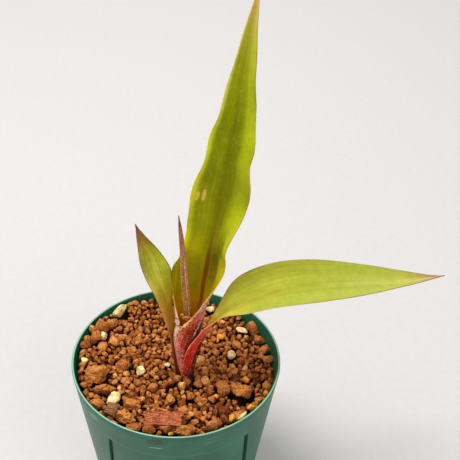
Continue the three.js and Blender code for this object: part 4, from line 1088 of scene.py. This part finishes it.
# Its bands are the pale outer margin, a wine-red stripe, a brown line and a pale olive stripe.
spear_skin = leaf_skin(
    "rolled_spear_skin", spear_count,
    base=[(0, "#a1421b"), (2, "#af6120"), (3, "#bb7c30"), (4, "#bf863d"), (5.4, "#c88f61"), (7, "#b36656"),
          (8, "#773530")],
    bands=[
        (0.985, 0.02, 0.03, [(1, "#e7863b", 0.8), (3, "#ffd769", 0.9), (6, "#ffb682", 0.8),
            (8, "#9a4c45", 0.6)]),
        (0.88, 0.05, 0.06, [(2, "#a0561e", 0.7), (3.4, "#a85833", 0.85), (6, "#af5e51", 0.7),
            (8, "#833f3a", 0.4)]),
        (0.7, 0.02, 0.05, [(2, "#894e19", 0.5), (3, "#855021", 0.6), (5, "#955f40", 0.6),
            (7, "#8a4d3d", 0.4)]),
        (0.6, 0.04, 0.06, [(2, "#bf9a2c", 0.8), (3.4, "#c1ab40", 0.8), (5, "#c9b363", 0.7),
            (7, "#ae7953", 0.3)]),
    ],
    streak=0.12, scales=[(0, 0.5), (3, 0.8), (5, 0.9), (8, 0.4)], rough=0.55, freckles=0.6)
spear = make_piece("rolled_spear", spear_bmesh(72, 10), spear_skin)
shell = spear.modifiers.new("flesh", "SOLIDIFY")
shell.thickness = SPEAR_BLADE * MM
shell.offset = -1
fit_piece(spear, "leaf_spear")

# Crumbs of clay that fell into the mouth of the funnel, in front of the spear, with smaller bits
# between them. Each is listed with its middle, its half-widths and its turn in degrees.
CRUMBS = [
    ((3.3, -2.85, 86.5), (0.8, 0.55, 0.7), (0, 0, -30)),
    ((4.3, -3.15, 86.2), (0.85, 0.55, 0.75), (0, 0, 0)),
    ((5.35, -2.95, 86.4), (0.85, 0.55, 0.7), (0, 0, 20)),
    ((4.4, -3.1, 87.2), (0.7, 0.55, 0.75), (0, 0, 0)),
    ((2.65, -2.7, 86.9), (0.9, 0.6, 0.7), (0, 0, -40)),
    ((2.15, -2.4, 87.6), (0.7, 0.55, 0.85), (0, 0, -50)),
    ((3.65, -3.0, 87.3), (0.45, 0.4, 0.4), (20, 0, 40)),
    ((5.1, -3.0, 87.1), (0.4, 0.35, 0.35), (0, 30, 10)),
]
CRUMB_SEED = 71
crumb_mesh = bmesh.new()
for number, (at, size, turn) in enumerate(CRUMBS):
    add_lump(crumb_mesh, at, size, turn, number + CRUMB_SEED, 3, tint=0.4 + 0.05 * number, rough=0.26)
fit_piece(make_piece("funnel_crumbs", crumb_mesh, clay), "crumbs")

# The crown is the short woody stem base in the soil that the leaves grow from. Its shape is right as
# it is, and it gets the skin of old leaf bases: upright fibres 2 mm long and 0.4 mm wide.
def old_leaf_bases():
    material, place = new_material("old_leaf_base_fibre")
    upright = add(material, "Mapping", {"Vector": place, "Scale": (2.0, 2.0, 0.4)})
    fibres = add(material, "TexNoise", {"Vector": upright, "Scale": 1.2, "Detail": 5.0}, out="Fac")
    colour = add(material, "ValToRGB", {"Fac": fibres}, stops=[(0.35, "#2e130c"), (0.65, "#6b3420")])
    return finish_skin(material, colour, fibres, 0.6, 0.3, {"Roughness": 0.75})


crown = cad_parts["crown"]
crown.data.materials.clear()
crown.data.materials.append(old_leaf_bases())

# The studio: a seamless pale table under wide soft lights. The camera looks down at the plant as the
# photograph does, turned a little about its own line of sight.
EYE = (17.51 * MM, -246.48 * MM, 312.76 * MM)
LOOK_DOWN = 37.519
ROLL = 2.183
SENSOR = 36.0
FOCAL_PIXELS = 961.56
FRAME_PIXELS = 460
TABLE_RADIUS = 3.0


# Matt paper: a dull white sheet whose faint clouding is all that the eye gets of its fibres, so they
# are drawn 3 mm coarse.
def matt_paper():
    material, place = new_material("matt_paper_backdrop")
    fibre = add(material, "TexNoise", {"Vector": place, "Scale": 1 / 3, "Detail": 3.0}, out="Fac")
    colour = add(material, "ValToRGB", {"Fac": fibre}, stops=[(0.3, "#cdcac8"), (0.7, "#d0cdcb")])
    shader = add(material, "BsdfPrincipled", {"Base Color": colour, "Roughness": 0.7,
                                              "Specular IOR Level": 0.3})
    add(material, "OutputMaterial", {"Surface": shader})
    return material


table_mesh = bmesh.new()
bmesh.ops.create_circle(table_mesh, cap_ends=True, segments=96, radius=TABLE_RADIUS / MM)
table = make_piece("table", table_mesh, matt_paper())


def soft_light(name, at, aim, size, power, colour):
    lamp = bpy.data.lights.new(name, "AREA")
    lamp.shape = "DISK"
    lamp.size = size
    lamp.energy = power
    lamp.color = colour
    holder = bpy.data.objects.new(name, lamp)
    holder.location = at
    holder.rotation_euler = (Vector(aim) - Vector(at)).to_track_quat("-Z", "Y").to_euler()
    scene.collection.objects.link(holder)


soft_light("key", (-0.3, 0.02, 1.05), (0, 0, 0.08), 0.55, 9.8, (1.0, 0.99, 0.97))
soft_light("fill", (0.7, -0.8, 0.9), (0, 0, 0.06), 0.9, 3.0, (0.97, 0.98, 1.0))
soft_light("back", (0.0, 0.7, 0.6), (0, 0.55, 0), 0.6, 1.1, (1.0, 1.0, 1.0))

world = bpy.data.worlds.new("pale_room")
world.use_nodes = True
world.node_tree.nodes["Background"].inputs["Color"].default_value = linear("#eceef0")
world.node_tree.nodes["Background"].inputs["Strength"].default_value = 0.6
scene.world = world
scene.view_settings.view_transform = "Standard"

camera = bpy.data.cameras.new("camera")
camera.sensor_width = SENSOR
camera.lens = SENSOR * FOCAL_PIXELS / FRAME_PIXELS
camera.clip_start = 0.01
viewer = bpy.data.objects.new("camera", camera)
viewer.matrix_world = (Matrix.Translation(EYE) @ Matrix.Rotation(math.radians(90 - LOOK_DOWN), 4, "X")
                       @ Matrix.Rotation(math.radians(ROLL), 4, "Z"))
scene.collection.objects.link(viewer)
scene.camera = viewer
